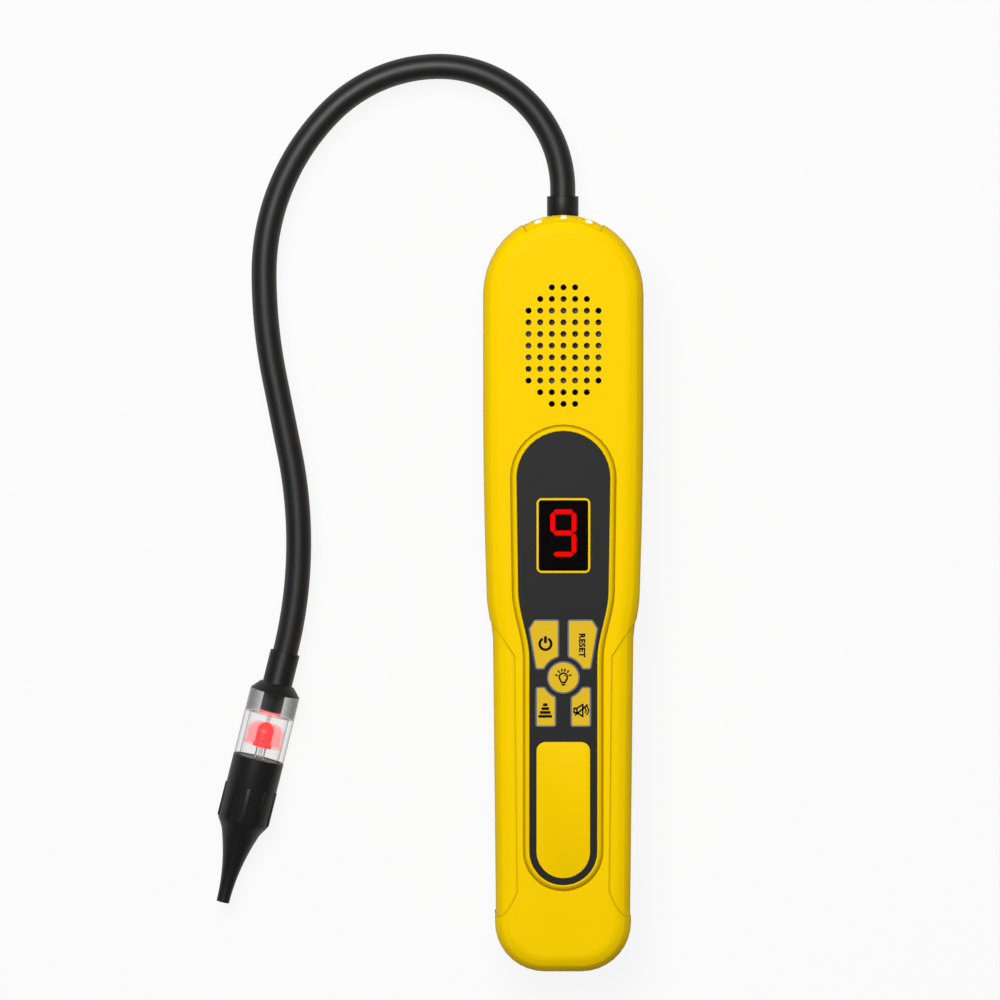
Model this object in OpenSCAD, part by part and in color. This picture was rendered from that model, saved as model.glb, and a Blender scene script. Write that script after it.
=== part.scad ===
// Handheld refrigerant leak detector with a bendable neck and a clear sensing head.
// It lies on its back. +Z points out of the control face, +Y runs to the neck end
// and +X is on the right of someone who reads the display.
// The origin is on the back face, on the centre line, under the middle of the display.

/* [Case] */
// Length of the case from tail to nose
case_len = 227; // [215:0.2:240]
// Width of the case at the speaker, twice the radius of the nose
head_w = 47.9; // [46:0.1:50]
// Width of the case just above the shoulder
shoulder_w = 45.8; // [44.5:0.1:46]
// Width of the case just below the shoulder
grip_w = 42.6; // [41.6:0.1:43.5]
// Width of the case at the tail
tail_w = 40.8; // [40:0.1:41.6]
// Thickness of the case from back to front face
case_depth = 33; // [32:0.5:37]
// Height of the joint between the two shells
part_z = 15; // [14:0.5:16]
// Wall thickness of both shells
wall = 2.2; // [2:0.1:2.4]
// Edge radius round the front face
front_edge_r = 6; // [5:0.1:6.4]
// Edge radius round the back face
rear_edge_r = 5; // [4:0.1:5.2]
// Corner radius of the tail seen from the front
tail_corner_r = 14.9; // [13:0.1:16]
// Depth of the grip recess in each side
grip_recess = 0.3; // [0.3:0.05:0.7]
// Width of the flat strip that the grip recess takes from each side of the front face
grip_border = 7; // [6.8:0.1:8]
// Depth of the shallow seat of the lamps in the nose
nose_seat = 0.4; // [0.2:0.05:0.6]
// Width of the lamp seat
nose_seat_w = 25; // [23:0.5:27]

/* [Control panel] */
// Distance from the nose to the top of the control panel
panel_drop = 64.7; // [63:0.1:67]
// Length of the control panel
panel_len = 135.6; // [133:0.1:138]
// Width of the panel at its round top
panel_head_w = 27.8; // [27:0.1:28.4]
// Width of the panel above the keys
panel_waist_w = 26.8; // [26.4:0.1:27]
// Width of the panel beside the keys
panel_grip_w = 20.1; // [19.6:0.1:20.6]
// Thickness of the panel inlay
panel_t = 0.8; // [0.6:0.1:1]
// Width of the raised rim round the panel
rim_w = 1.9; // [1.4:0.1:2.4]
// Height of the rim above the front face
rim_h = 0.5; // [0.3:0.1:0.8]
// Width of the bare label plate
label_w = 16; // [14:0.5:17]
// Space between the lower keys and the bare label plate
label_gap = 4.5; // [3:0.1:9]
// Thickness of the label plate
label_t = 0.4; // [0.3:0.1:0.6]

/* [Display] */
// Width of the display window
window_w = 14.4; // [13.6:0.1:15]
// Height of the display window
window_h = 20.7; // [20:0.1:22]
// Width of the line of the bezel round the window
bezel_w = 0.8; // [0.5:0.1:1]
// Height of the bezel above the panel
bezel_h = 0.15; // [0.1:0.05:0.3]
// Distance from the panel's top to the middle of the window
window_drop = 31.1; // [30:0.1:32]
// Thickness of the seven segment module
module_t = 8; // [7:0.1:8.4]
// Height of the digit
digit_h = 14.2; // [13:0.1:14.6]
// Width of the digit
digit_w = 8; // [7.4:0.1:8.4]
// Width of one segment
segment_w = 1.45; // [1.2:0.05:1.6]

/* [Keys] */
// Diameter of the round lamp key
lamp_key_d = 9.8; // [9:0.1:10]
// Width of the black land between the lamp key and the keys round it
key_land = 1.2; // [1.1:0.05:1.4]
// Distance from the panel's top to the middle of the lamp key
keys_drop = 73.5; // [73:0.1:74.5]
// Gap between the two upper keys
upper_gap = 2.5; // [2.2:0.1:3]
// Gap between the two lower keys
lower_gap = 4.3; // [4:0.1:5]
// Height of the keys above the panel
key_rise = 0.4; // [0.3:0.1:0.8]
// Travel of a key
key_travel = 0.4; // [0.3:0.05:0.5]
// Clearance between a key and its hole in the panel
key_clear = 0.15; // [0.12:0.01:0.2]

/* [Speaker grille] */
// Diameter of a grille hole
hole_d = 1.8; // [1.4:0.1:2.2]
// Distance between grille holes
hole_pitch = 3.47; // [3.3:0.01:3.6]
// Distance from the nose to the middle of the grille
grille_drop = 39.2; // [38.5:0.1:41]
// Diameter of the speaker
speaker_d = 25; // [23:0.5:27]
// Depth of the speaker
speaker_t = 5.4; // [4.5:0.1:6]

/* [Lamps] */
// Diameter of a lamp in the nose
lamp_d = 3; // [2.8:0.1:3.4]
// Distance between lamps
lamp_pitch = 7.3; // [7:0.1:8]
// Depth of the lamp row behind the front face
lamp_depth = 4.5; // [4:0.1:5]

/* [Neck] */
// Diameter of the gooseneck
neck_d = 7.6; // [7:0.1:7.8]
// Height of the neck and of the head above the back face
neck_z = 8; // [8:0.1:8.6]
// Diameter of the ferrule on the case
ferrule_d = 9.5; // [9.4:0.1:10]
// Length of the ferrule outside the case
ferrule_len = 5.9; // [5:0.1:8]
// Diameter of the nut inside the nose
nut_d = 11.2; // [10.8:0.1:11.4]

/* [Sensing head] */
// Outer diameter of the sight tube
tube_d = 15.3; // [14.8:0.1:15.4]
// Visible length of the sight tube
tube_len = 20.4; // [20.2:0.1:22]
// Inner diameter of the sight tube
tube_bore = 12.2; // [12:0.1:12.4]
// Length of the solid end of the sight tube
tube_end = 6.9; // [6.6:0.1:7.2]
// Diameter of the collar where the neck enters
collar_d = 9; // [8.9:0.1:9.6]
// Length of that part of the collar
collar_len = 9.8; // [9:0.1:11]
// Length of the collar's cone
cone_len = 2.8; // [2:0.1:3]
// Diameter of the red lamp
led_d = 5; // [4.8:0.1:5.2]
// Diameter of the gas sensor
sensor_d = 8.1; // [7.6:0.1:9]
// Length of the gas sensor
sensor_len = 8; // [7:0.1:8.4]
// Length of the nozzle
nozzle_len = 45; // [43:0.1:47]
// Outer diameter of the nozzle's cup
nozzle_d = 15.5; // [15.4:0.1:15.6]
// Diameter of the nozzle's tip
tip_d = 3.9; // [3.6:0.1:4.4]
// Diameter of the hole in the tip
tip_bore = 2; // [1.6:0.1:2.4]
// Number of grip ribs on the nozzle
rib_count = 9; // [8:1:10]
// Height of a grip rib
rib_h = 0.3; // [0.2:0.05:0.35]

/* [Battery] */
// Diameter of a cell
cell_d = 14.2; // [13.8:0.1:14.4]
// Length of a cell with its button
cell_len = 50.5; // [49.5:0.1:51]
// Thickness of the battery door
door_t = 2.1; // [2:0.05:2.1]
// Length of a pressed contact spring
spring_len = 3; // [2.5:0.1:3.5]

/* [Hidden] */
$fn = 48;

YELLOW = [0.98, 0.80, 0.02];
AMBER = [0.89, 0.73, 0.16];
BLACK = [0.13, 0.13, 0.13];
CHARCOAL = [0.2, 0.2, 0.21];
STEEL = [0.7, 0.7, 0.72];
RED = [0.95, 0.1, 0.1];

// Small clearances
seat_gap = 0.1;
slide_gap = 0.15;
door_gap = 0.25;
pin_gap = 0.05;
cut = 1;

// Case outline along Y
nose_y = panel_drop + window_drop;
nose_c = nose_y - head_w / 2;
tail_end = nose_y - case_len;
tail_y = tail_end + tail_corner_r;
taper_y = nose_y - 55.6;
shoulder_y = nose_y - 113.4;
shoulder_len = 14;
grip_y = shoulder_y - shoulder_len;
nose_seat_a = acos(nose_seat_w / head_w);
nose_ramp_a = 0.8;
front_tilts = [0, 16, 32, 48, 52, 68, 80, 90];
seat_tilt = 50;
rear_tilts = [0, 18, 36, 54, 72, 90];
rear_fade = 36;
front_slope = 2.5;
rear_slope = 1.6;

// Grip recess: its ends slope across the edge of the front face
recess_top_y = nose_y - 121.4;
recess_end_y = tail_y + 1.3;
recess_slant = 1.5;
recess_curl = 0.17;
recess_ramp = 0.3;
recess_upper = recess_top_y - 25;
recess_lower = recess_end_y + 15;

// Control panel
panel_top = nose_y - panel_drop;
panel_c = panel_top - panel_head_w / 2;
panel_waist_y = panel_top - 47.4;
panel_waist_len = 20.9;
panel_foot = panel_top - panel_len + panel_grip_w / 2;
panel_z = case_depth - panel_t;
panel_ledge = 0.4;
key_room = 1.6;
window_y = panel_top - window_drop;
keys_y = panel_top - keys_drop;
rim_crest = 0.5;
label_corner_r = 2.7;
label_margin = 2;
label_foot = panel_foot - panel_grip_w / 2 + label_margin + label_w / 2;
window_r = 0.8;

// Keys, measured from the middle of the lamp key
key_ring_r = lamp_key_d / 2 + key_land;
key_corner_r = 0.8;
key_flange = 0.3;
key_flange_t = 0.5;
key_step = 0.45;
key_step_h = 0.2;
upper_top = 17.35;
upper_foot = 2.35;
upper_out = 10.4;
upper_out_y = 14.6;
upper_top_out = 8.7;
upper_foot_out = 8.3;
lower_top = -2.75;
lower_foot = -14.8;
lower_out = 8.3;
label_len = keys_y + lower_foot - label_gap - label_foot + label_w / 2;
switch_w = 6;
switch_t = 3.5;
plunger_d = 3.4;
switch_spots = [[-5.8, 9.8], [5.8, 9.8], [0, 0], [-5.2, -8.9], [5.2, -8.9]];
flange_z = panel_z - seat_gap;

// Boards
board_t = 1.6;
segment_t = 0.15;
board_z = panel_z - segment_t - seat_gap - module_t - board_t;
board_w = 22.4;
board_top = panel_top + 6;
board_foot = keys_y - 23;
board_post_x = 8.5;
board_post_in = 4;
board_post_d = 4.6;
board_screw_d = 2;
board_screw_head = 3.8;
board_screw_t = 1.4;
board_screw_len = 5;
module_w = 12.6;
module_h = 19;

// Speaker and lamps
front_in = case_depth - wall;
grille_y = nose_y - grille_drop;
speaker_ring_t = 1.2;
speaker_ring_h = 3.5;
lamp_z = case_depth - lamp_depth;
lamp_len = 5.3;
lamp_flange = 0.8;
lamp_flange_t = 1;
lamp_set_back = 0.4;
lamp_board_t = 1.2;
lamp_board_w = 19.6;
lamp_board_h = 8;
lamp_ledge = 1.6;

// Neck: radius and turn of each bend, or length and 0 where it is straight
ferrule_seat = nose_y - nose_seat - 0.3;
ferrule_in = 6.6;
ferrule_in_d = ferrule_d - 0.7;
ferrule_wall = 0.5;
neck_seat = ferrule_seat - ferrule_in + 0.6;
nut_t = 3;
ferrule_lead = 1.9;
neck_lead = ferrule_seat + ferrule_len + ferrule_lead - neck_seat;
collar_bore_len = 8;
arch_rise_r = 37.1;
arch_top_r = 46.2;
arch_fall_r = 69;
neck_sweep_r = 159;
neck_straight = 23.4;
head_curve_r = 137;
neck_bends = [[neck_lead, 0], [arch_rise_r, 90], [arch_top_r, 45], [arch_fall_r, 45], [neck_sweep_r, 11.3],
              [neck_straight, 0], [head_curve_r, -25.4], [collar_bore_len - 0.3, 0]];
head_end = len(neck_bends) - 1;
neck_step = 5;
neck_facet = 18;

// Sensing head, measured along its axis from the mouth of the collar
cone_top_d = collar_d + 1.2;
tube_s = collar_len + cone_len;
spigot_d = 6.4;
spigot_len = 5.9;
tube_end_bore = spigot_d + 2 * seat_gap;
cavity_s = tube_s + tube_end;
nozzle_s = tube_s + tube_len;
plug_len = 9.5;
nozzle_wall = 0.85;
nozzle_bore = nozzle_d - 2 * nozzle_wall;
plug_d = nozzle_bore - 2 * slide_gap;
led_s = cavity_s + 2.4;
led_len = 7.6;
led_flange_d = led_d + 0.8;
led_flange_t = 1;
led_lead_d = 0.5;
led_lead_pitch = 2.54;
lens_d = tube_bore - 0.9;
lens_foot = 0.3;
lens_t = 0.6;
lens_round = 2.9;
lead_d = 1.4;
lead_off = 3.6;
led_legs = 3.6;
base_s = led_s + led_len + led_legs;
base_t = 3.2;
sensor_rim = 0.5;
sensor_rim_t = 0.8;
filter_in = 15.6;
filter_throat = 6;
filter_s = nozzle_s + filter_in;
filter_d = 10.2;
filter_t = 2.4;
shoulder_s = 19.6;
taper_s = 22.9;
taper_r = 5.9;
taper_steps = 8;
rib_w = 1.4;
rib_s = 9;
rib_len = 10.5;

// Battery bay in the rear shell
cell_pitch = cell_d + 0.4;
plate_t = 0.5;
cell_gap = 0.45;
cell_z = door_t + cell_gap + cell_d / 2;
bay_half = cell_pitch / 2 + cell_d / 2 + 0.3;
bay_wall = 1.4;
tail_room = 15;
bay_foot = tail_end + tail_room;
bay_top = bay_foot + 2 * cell_len + spring_len + 2 * plate_t + 0.5;
bay_roof = cell_z + cell_d / 2 + 0.4;
door_half = bay_half + 0.45;
door_lift = 0.05;
hinge_r = (door_t - door_lift) / 2;
hinge_y = bay_foot + door_gap + hinge_r;
hinge_z = door_lift + hinge_r;
hinge_pin_d = 1.3;
hinge_pin_len = 1.1;
grip_groove = [11, 1, 0.5];
grip_groove_pitch = 2;
button_d = 5.5;
button_len = 1.3;
contact_w = 10.5;
spring_d = 9;
spring_tip_d = 5;
spring_wire = 0.8;
spring_turns = 3;

// Case screws, driven from the back
nose_screw_x = 15;
nose_screw_up = 3.3;
bay_screw_x = 14.8;
bay_screw_up = 10;
tail_screw_down = 5.6;
screw_spots = [[nose_screw_x, nose_c + nose_screw_up], [-nose_screw_x, nose_c + nose_screw_up],
               [bay_screw_x, bay_top + bay_screw_up], [-bay_screw_x, bay_top + bay_screw_up],
               [0, bay_foot - tail_screw_down]];
screw_d = 2.9;
screw_head_d = 5.6;
screw_head_t = 2;
screw_seat_z = 7;
screw_len = 16;
front_boss_d = 6;
rear_boss_d = 8.4;

function lerp(a, b, t) = a + (b - a) * t;
function clamp01(t) = min(max(t, 0), 1);
function smooth(t) = let (c = clamp01(t)) c * c * (3 - 2 * c);
function reversed(list) = [for (k = [len(list) - 1:-1:0]) list[k]];
function mirrored(points) = [for (p = points) [-p[0], p[1], p[2]]];

// Half the width of the case at a place along it
function case_half_w(y) =
    (head_w
     - (head_w - shoulder_w) * pow(clamp01((taper_y - y) / (taper_y - shoulder_y)), 2)
     - (shoulder_w - grip_w) * smooth((shoulder_y - y) / shoulder_len)
     - (grip_w - tail_w) * clamp01((grip_y - y) / (grip_y - tail_y))) / 2;

function recess_top(inset) = recess_top_y - recess_slant * inset;
function recess_end(inset) = recess_end_y + recess_curl * inset * inset;

// Places down one side, each with 1 where the grip recess is
function side_stations(inset) = concat(
    [for (j = [1:5]) [lerp(nose_c, shoulder_y + 2, j / 5), 0]],
    [for (j = [1:5]) [lerp(shoulder_y + 2, recess_top(inset), j / 5), 0]],
    [for (j = [0:5]) [lerp(recess_top(inset) - recess_ramp, recess_upper, j / 5), 1]],
    [for (j = [0:4]) [lerp(recess_lower, recess_end(inset) + recess_ramp, j / 4), 1]],
    [[recess_end(inset), 0]]);

// Angles round the nose, each with 1 where the lamp seat is
function nose_stations() = concat(
    [for (j = [0:7]) [lerp(0, nose_seat_a, j / 7), 0]],
    [for (j = [0:8]) [lerp(nose_seat_a + nose_ramp_a, 180 - nose_seat_a - nose_ramp_a, j / 8), 1]],
    [for (j = [0:7]) [lerp(180 - nose_seat_a, 180, j / 7), 0]]);

// One closed ring round the case. The tilt is the slope of the surface there, and grip and
// seat are how deep the two recesses are pressed in along its normal.
function case_ring(inset, z, tilt, grip, seat) =
    let (right = [for (s = side_stations(inset))
                  [case_half_w(s[0]) - inset - s[1] * grip * cos(tilt), s[0], z - s[1] * grip * sin(tilt)]],
         nose = [for (s = nose_stations())
                 let (r = head_w / 2 - inset - s[1] * seat * cos(tilt))
                 [r * cos(s[0]), nose_c + r * sin(s[0]), z - s[1] * seat * sin(tilt)]],
         tail_r = tail_corner_r - inset,
         tail_x = tail_w / 2 - tail_corner_r,
         tail = [for (a = [0:10:90]) [tail_x + tail_r * cos(a), tail_y - tail_r * sin(a), z]])
    concat(reversed(right), nose, mirrored(right), mirrored(tail), reversed(tail));

function front_rings() = concat(
    [case_ring(0, part_z - cut, 0, grip_recess, nose_seat)],
    [for (t = front_tilts)
     case_ring(front_edge_r * (1 - cos(t)), case_depth - front_edge_r * (1 - sin(t)), t,
               grip_recess, t < seat_tilt ? nose_seat : 0)],
    [case_ring(grip_border - recess_ramp, case_depth, 90, grip_recess, 0),
     case_ring(grip_border, case_depth, 90, 0, 0)]);

function rear_rings() = concat(
    [for (t = reversed(rear_tilts))
     let (fade = 1 - smooth((t - rear_fade) / rear_fade))
     case_ring(rear_edge_r * (1 - cos(t)), rear_edge_r * (1 - sin(t)), -t,
               grip_recess * fade, nose_seat * fade)],
    [case_ring(0, part_z + cut, 0, grip_recess, nose_seat)]);

// One ring without the recesses, for the hollow inside
function plain_ring(inset, z) =
    let (right = [for (j = [1:12])
                  let (y = lerp(nose_c, tail_y, j / 13))
                  [case_half_w(y) - inset, y, z]],
         nose_r = head_w / 2 - inset,
         nose = [for (a = [0:9:180]) [nose_r * cos(a), nose_c + nose_r * sin(a), z]],
         tail_r = tail_corner_r - inset,
         tail_x = tail_w / 2 - tail_corner_r,
         tail = [for (a = [0:15:90]) [tail_x + tail_r * cos(a), tail_y - tail_r * sin(a), z]])
    concat(reversed(right), nose, mirrored(right), mirrored(tail), reversed(tail));

function front_hollow() =
    [plain_ring(wall, part_z - 2 * cut), plain_ring(wall, front_in - front_slope), plain_ring(wall + front_slope, front_in)];

function rear_hollow() =
    [plain_ring(wall + rear_slope, wall), plain_ring(wall, wall + rear_slope), plain_ring(wall, part_z + 2 * cut)];

// Slab that trims a shell at the joint between the two
module part_line(z) {
    translate([-head_w, tail_end - cut, z]) cube([2 * head_w, case_len + 2 * cut, 3 * cut]);
}

// Closed solid through a stack of rings, each with the same number of points
module loft(rings) {
    n = len(rings[0]);
    last = (len(rings) - 1) * n;
    polyhedron(
        points = [for (r = rings) each r],
        faces = concat(
            [[for (j = [0:n - 1]) j]],
            [for (k = [0:len(rings) - 2]) for (j = [0:n - 1])
             let (a = k * n + j, b = k * n + (j + 1) % n)
             each [[a, a + n, b + n], [a, b + n, b]]],
            [[for (j = [n - 1:-1:0]) last + j]]));
}

// Closed frame through rings that lead round its section and back to the first one
module loop(rings) {
    n = len(rings[0]);
    m = len(rings);
    polyhedron(
        points = [for (r = rings) each r],
        faces = [for (k = [0:m - 1]) for (j = [0:n - 1])
                 let (a = k * n + j, b = k * n + (j + 1) % n, c = ((k + 1) % m) * n - k * n)
                 each [[a, a + c, b + c], [a, b + c, b]]]);
}

// Half the width of the control panel at a place along it
function panel_half_w(y) =
    (panel_head_w
     - (panel_head_w - panel_waist_w) * clamp01((panel_c - y) / (panel_c - panel_waist_y))
     - (panel_waist_w - panel_grip_w) * smooth((panel_waist_y - y) / panel_waist_len)) / 2;

function panel_outline(grow) =
    let (top_r = panel_head_w / 2 + grow,
         foot_r = panel_grip_w / 2 + grow,
         waist = [for (j = [0:10]) panel_waist_y - panel_waist_len * j / 10])
    concat([for (a = [0:9:180]) [top_r * cos(a), panel_c + top_r * sin(a)]],
           [for (y = waist) [-panel_half_w(y) - grow, y]],
           [for (a = [180:9:360]) [foot_r * cos(a), panel_foot + foot_r * sin(a)]],
           [for (y = reversed(waist)) [panel_half_w(y) + grow, y]]);

function panel_ring(grow, z) = [for (p = panel_outline(grow)) [p[0], p[1], z]];

module plate(z, t) {
    translate([0, 0, z]) linear_extrude(t) children();
}

module round_rect(w, h, r) {
    square([w - 2 * r, h], center = true);
    square([w, h - 2 * r], center = true);
    for (x = [-1, 1]) for (y = [-1, 1]) translate([x * (w / 2 - r), y * (h / 2 - r)]) circle(r);
}

// Raised rim round the panel, inlaid in the same seat
module panel_rim() {
    color(YELLOW) loop([
        panel_ring(rim_w, panel_z), panel_ring(rim_w, case_depth),
        panel_ring(rim_w - rim_crest, case_depth + rim_h * 0.6), panel_ring(rim_crest, case_depth + rim_h),
        panel_ring(slide_gap, case_depth + rim_h * 0.8), panel_ring(slide_gap, panel_z)]);
}

module grille_holes() {
    for (row = [-5:5]) {
        half = min(3, 6 - abs(row));
        for (col = [-half:half])
            translate([col * hole_pitch, grille_y + row * hole_pitch, front_in - cut])
                cylinder(d = hole_d, h = wall + 2 * cut);
    }
}

function lamp_tip(x) = nose_c + sqrt(pow(head_w / 2, 2) - x * x) - nose_seat - lamp_set_back;
function lamp_base_y() = lamp_tip(lamp_pitch) - lamp_len;

module at_lamps() {
    for (k = [-1:1]) translate([k * lamp_pitch, 0, lamp_z]) children();
}

module board_posts(d, z, h) {
    for (x = [-1, 1]) for (y = [board_top - board_post_in, board_foot + board_post_in])
        translate([x * board_post_x, y, z]) cylinder(d = d, h = h);
}

module front_shell() {
    color(YELLOW) difference() {
        union() {
            difference() {
                loft(front_rings());
                loft(front_hollow());
                part_line(part_z - 3 * cut);
                plate(panel_z, wall) polygon(panel_outline(rim_w + seat_gap));
                plate(front_in - cut, wall + cut) intersection() {
                    polygon(panel_outline(-panel_ledge));
                    translate([-head_w / 2, keys_y + lower_foot - key_room])
                        square([head_w, window_y - keys_y + window_h / 2 - lower_foot + 2 * key_room]);
                }
            }
            for (p = screw_spots) translate([p[0], p[1], part_z])
                cylinder(d = front_boss_d, h = front_in - part_z + wall / 2);
            board_posts(board_post_d, board_z + board_t, front_in - board_z - board_t + wall / 2);
            translate([0, grille_y, front_in - speaker_ring_h]) difference() {
                cylinder(d = speaker_d + 2 * (slide_gap + speaker_ring_t), h = speaker_ring_h + wall / 4);
                translate([0, 0, -cut]) cylinder(d = speaker_d + 2 * slide_gap, h = speaker_ring_h + cut);
            }
            for (x = [-1, 1])
                translate([x * (lamp_board_w / 2 - lamp_ledge) - lamp_ledge / 2,
                           lamp_base_y() - lamp_board_t - lamp_ledge, front_in - lamp_board_h])
                    cube([lamp_ledge, lamp_ledge, lamp_board_h + wall / 4]);
        }
        grille_holes();
        at_lamps() translate([0, nose_y + cut, 0]) rotate([90, 0, 0])
            cylinder(d = lamp_d + 2 * slide_gap, h = nose_y + cut - lamp_base_y() - lamp_flange_t - 0.3);
        for (p = screw_spots) translate([p[0], p[1], part_z - cut])
            cylinder(d = screw_d + 2 * pin_gap, h = screw_seat_z + screw_len - part_z + 2 * cut);
        board_posts(board_screw_d + 2 * pin_gap, board_z + board_t - cut, board_screw_len);
    }
}

module at_neck(y) {
    translate([0, y, neck_z]) rotate([90, 0, 0]) children();
}

module bay_block(grow, z0, z1) {
    translate([-bay_half - grow, bay_foot - grow, z0])
        cube([2 * (bay_half + grow), bay_top - bay_foot + 2 * grow, z1 - z0]);
}

module rear_shell() {
    color(CHARCOAL) difference() {
        union() {
            difference() {
                loft(rear_rings());
                loft(rear_hollow());
                part_line(part_z);
            }
            bay_block(bay_wall, wall / 2, bay_roof + bay_wall);
            for (p = screw_spots) translate([p[0], p[1], wall / 2]) cylinder(d = rear_boss_d, h = part_z - wall / 2);
        }
        bay_block(0, wall, bay_roof);
        translate([-door_half - door_gap, bay_foot, -cut])
            cube([2 * (door_half + door_gap), bay_top - bay_foot, cut + door_t + door_lift]);
        for (x = [-1, 1]) translate([x * door_half, hinge_y, hinge_z]) rotate([0, x * 90, 0])
            cylinder(d = hinge_pin_d + 2 * pin_gap, h = hinge_pin_len + door_gap + 0.2);
        for (p = screw_spots) translate([p[0], p[1], -cut]) {
            cylinder(d = screw_d + 0.4, h = part_z + 2 * cut);
            cylinder(d = screw_head_d + 0.6, h = screw_seat_z + cut);
        }
        board_posts(board_screw_head + 2 * slide_gap, board_z - board_screw_t - slide_gap, board_screw_t + slide_gap);
        at_neck(nose_y + cut) cylinder(d = ferrule_in_d + 2 * seat_gap, h = wall + 3 * cut);
        at_neck(nose_y + cut) cylinder(d = ferrule_d + 2 * slide_gap, h = nose_y + cut - ferrule_seat);
    }
}

// Outlines of the keys, seen from the front
module key_shape(which) {
    offset(r = key_corner_r) offset(delta = -key_corner_r) difference() {
        if (which == "upper") polygon([
            [upper_gap / 2, upper_top], [upper_gap / 2, upper_foot], [upper_foot_out, upper_foot],
            [upper_out, upper_out_y], [upper_top_out, upper_top]]);
        else polygon([
            [lower_gap / 2, lower_top], [lower_gap / 2, lower_foot], [lower_out, lower_foot],
            [lower_out, lower_top]]);
        circle(key_ring_r);
    }
}

module key_outline(which, side) {
    translate([0, keys_y]) {
        if (which == "lamp") circle(d = lamp_key_d);
        else mirror([side < 0 ? 1 : 0, 0, 0]) key_shape(which);
    }
}

module key_cap(which, side) {
    top = case_depth + key_rise;
    color(AMBER) {
        plate(flange_z - key_flange_t, key_flange_t) offset(delta = key_flange) key_outline(which, side);
        plate(flange_z, top - key_step_h - flange_z) key_outline(which, side);
        plate(top - key_step_h, key_step_h) offset(delta = -key_step) key_outline(which, side);
    }
}

module power_key() { key_cap("upper", -1); }
module reset_key() { key_cap("upper", 1); }
module lamp_key() { key_cap("lamp", 1); }
module sensitivity_key() { key_cap("lower", -1); }
module mute_key() { key_cap("lower", 1); }

module control_panel() {
    color(BLACK) difference() {
        plate(panel_z, panel_t) polygon(panel_outline(0));
        plate(panel_z - cut, panel_t + 2 * cut) {
            offset(delta = key_clear) for (side = [-1, 1]) {
                key_outline("upper", side);
                key_outline("lower", side);
            }
            translate([0, keys_y]) circle(d = lamp_key_d + 2 * key_clear);
            translate([0, window_y]) round_rect(window_w + 2 * seat_gap, window_h + 2 * seat_gap, window_r);
        }
    }
}

module label_plate() {
    color(YELLOW) plate(case_depth, label_t) union() {
        translate([0, label_foot]) circle(d = label_w);
        translate([-label_w / 2, label_foot]) square([label_w, label_len - label_w / 2 - label_corner_r]);
        translate([label_corner_r - label_w / 2, label_foot])
            square([label_w - 2 * label_corner_r, label_len - label_w / 2]);
        for (x = [-1, 1])
            translate([x * (label_w / 2 - label_corner_r), label_foot + label_len - label_w / 2 - label_corner_r])
                circle(label_corner_r);
    }
}

module display_bezel() {
    color(YELLOW) plate(case_depth, bezel_h) translate([0, window_y]) difference() {
        round_rect(window_w + 2 * bezel_w, window_h + 2 * bezel_w, window_r + bezel_w);
        round_rect(window_w, window_h, window_r);
    }
}

module display_window() {
    color([0.1, 0.02, 0.02, 0.6]) plate(panel_z, panel_t) translate([0, window_y])
        round_rect(window_w, window_h, window_r);
}

module display_module() {
    color(BLACK) translate([-module_w / 2, window_y - module_h / 2, board_z + board_t])
        cube([module_w, module_h, module_t]);
}

// One bar with pointed ends, along X
module segment(length) {
    w = segment_w / 2;
    polygon([[-length / 2, 0], [w - length / 2, w], [length / 2 - w, w], [length / 2, 0],
             [length / 2 - w, -w], [w - length / 2, -w]]);
}

module digit_segments() {
    across = digit_w - segment_w;
    up = (digit_h - segment_w) / 2;
    gap = 0.25;
    color(RED) plate(panel_z - segment_t - seat_gap, segment_t) translate([0, window_y]) {
        for (y = [-1:1]) translate([0, y * up]) segment(across - gap);
        for (x = [-1, 1]) for (y = [-1, 1])
            translate([x * across / 2, y * up / 2]) rotate(90) segment(up - gap);
    }
}

module tact_switches() {
    base = board_z + board_t;
    color(CHARCOAL) for (p = switch_spots) translate([p[0], keys_y + p[1], base]) {
        translate([-switch_w / 2, -switch_w / 2, 0]) cube([switch_w, switch_w, switch_t]);
        cylinder(d = plunger_d, h = flange_z - key_flange_t - key_travel - seat_gap - base);
    }
}

module main_board() {
    color([0.1, 0.35, 0.2]) difference() {
        plate(board_z, board_t) translate([0, (board_top + board_foot) / 2])
            round_rect(board_w, board_top - board_foot, 2);
        board_posts(board_screw_d + 0.3, board_z - cut, board_t + 2 * cut);
    }
}

module board_screws() {
    color(STEEL) {
        board_posts(board_screw_d, board_z - board_screw_t, board_screw_len);
        board_posts(board_screw_head, board_z - board_screw_t, board_screw_t);
    }
}

module speaker() {
    r = speaker_d / 2;
    rim = 1.6;
    cap_r = 4;
    dish = 1.6;
    magnet_r = 7;
    color([0.45, 0.46, 0.48]) translate([0, grille_y, front_in - seat_gap - speaker_t]) rotate_extrude()
        polygon([[0, 0], [magnet_r, 0], [magnet_r, speaker_t - 3], [r - rim, speaker_t - 1.8], [r, speaker_t - 1.8],
                 [r, speaker_t], [r - rim, speaker_t], [r - 2 * rim, speaker_t - 0.6], [cap_r, speaker_t - dish],
                 [cap_r / 2, speaker_t - dish + 0.7], [0, speaker_t - dish + 0.9]]);
}

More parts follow.
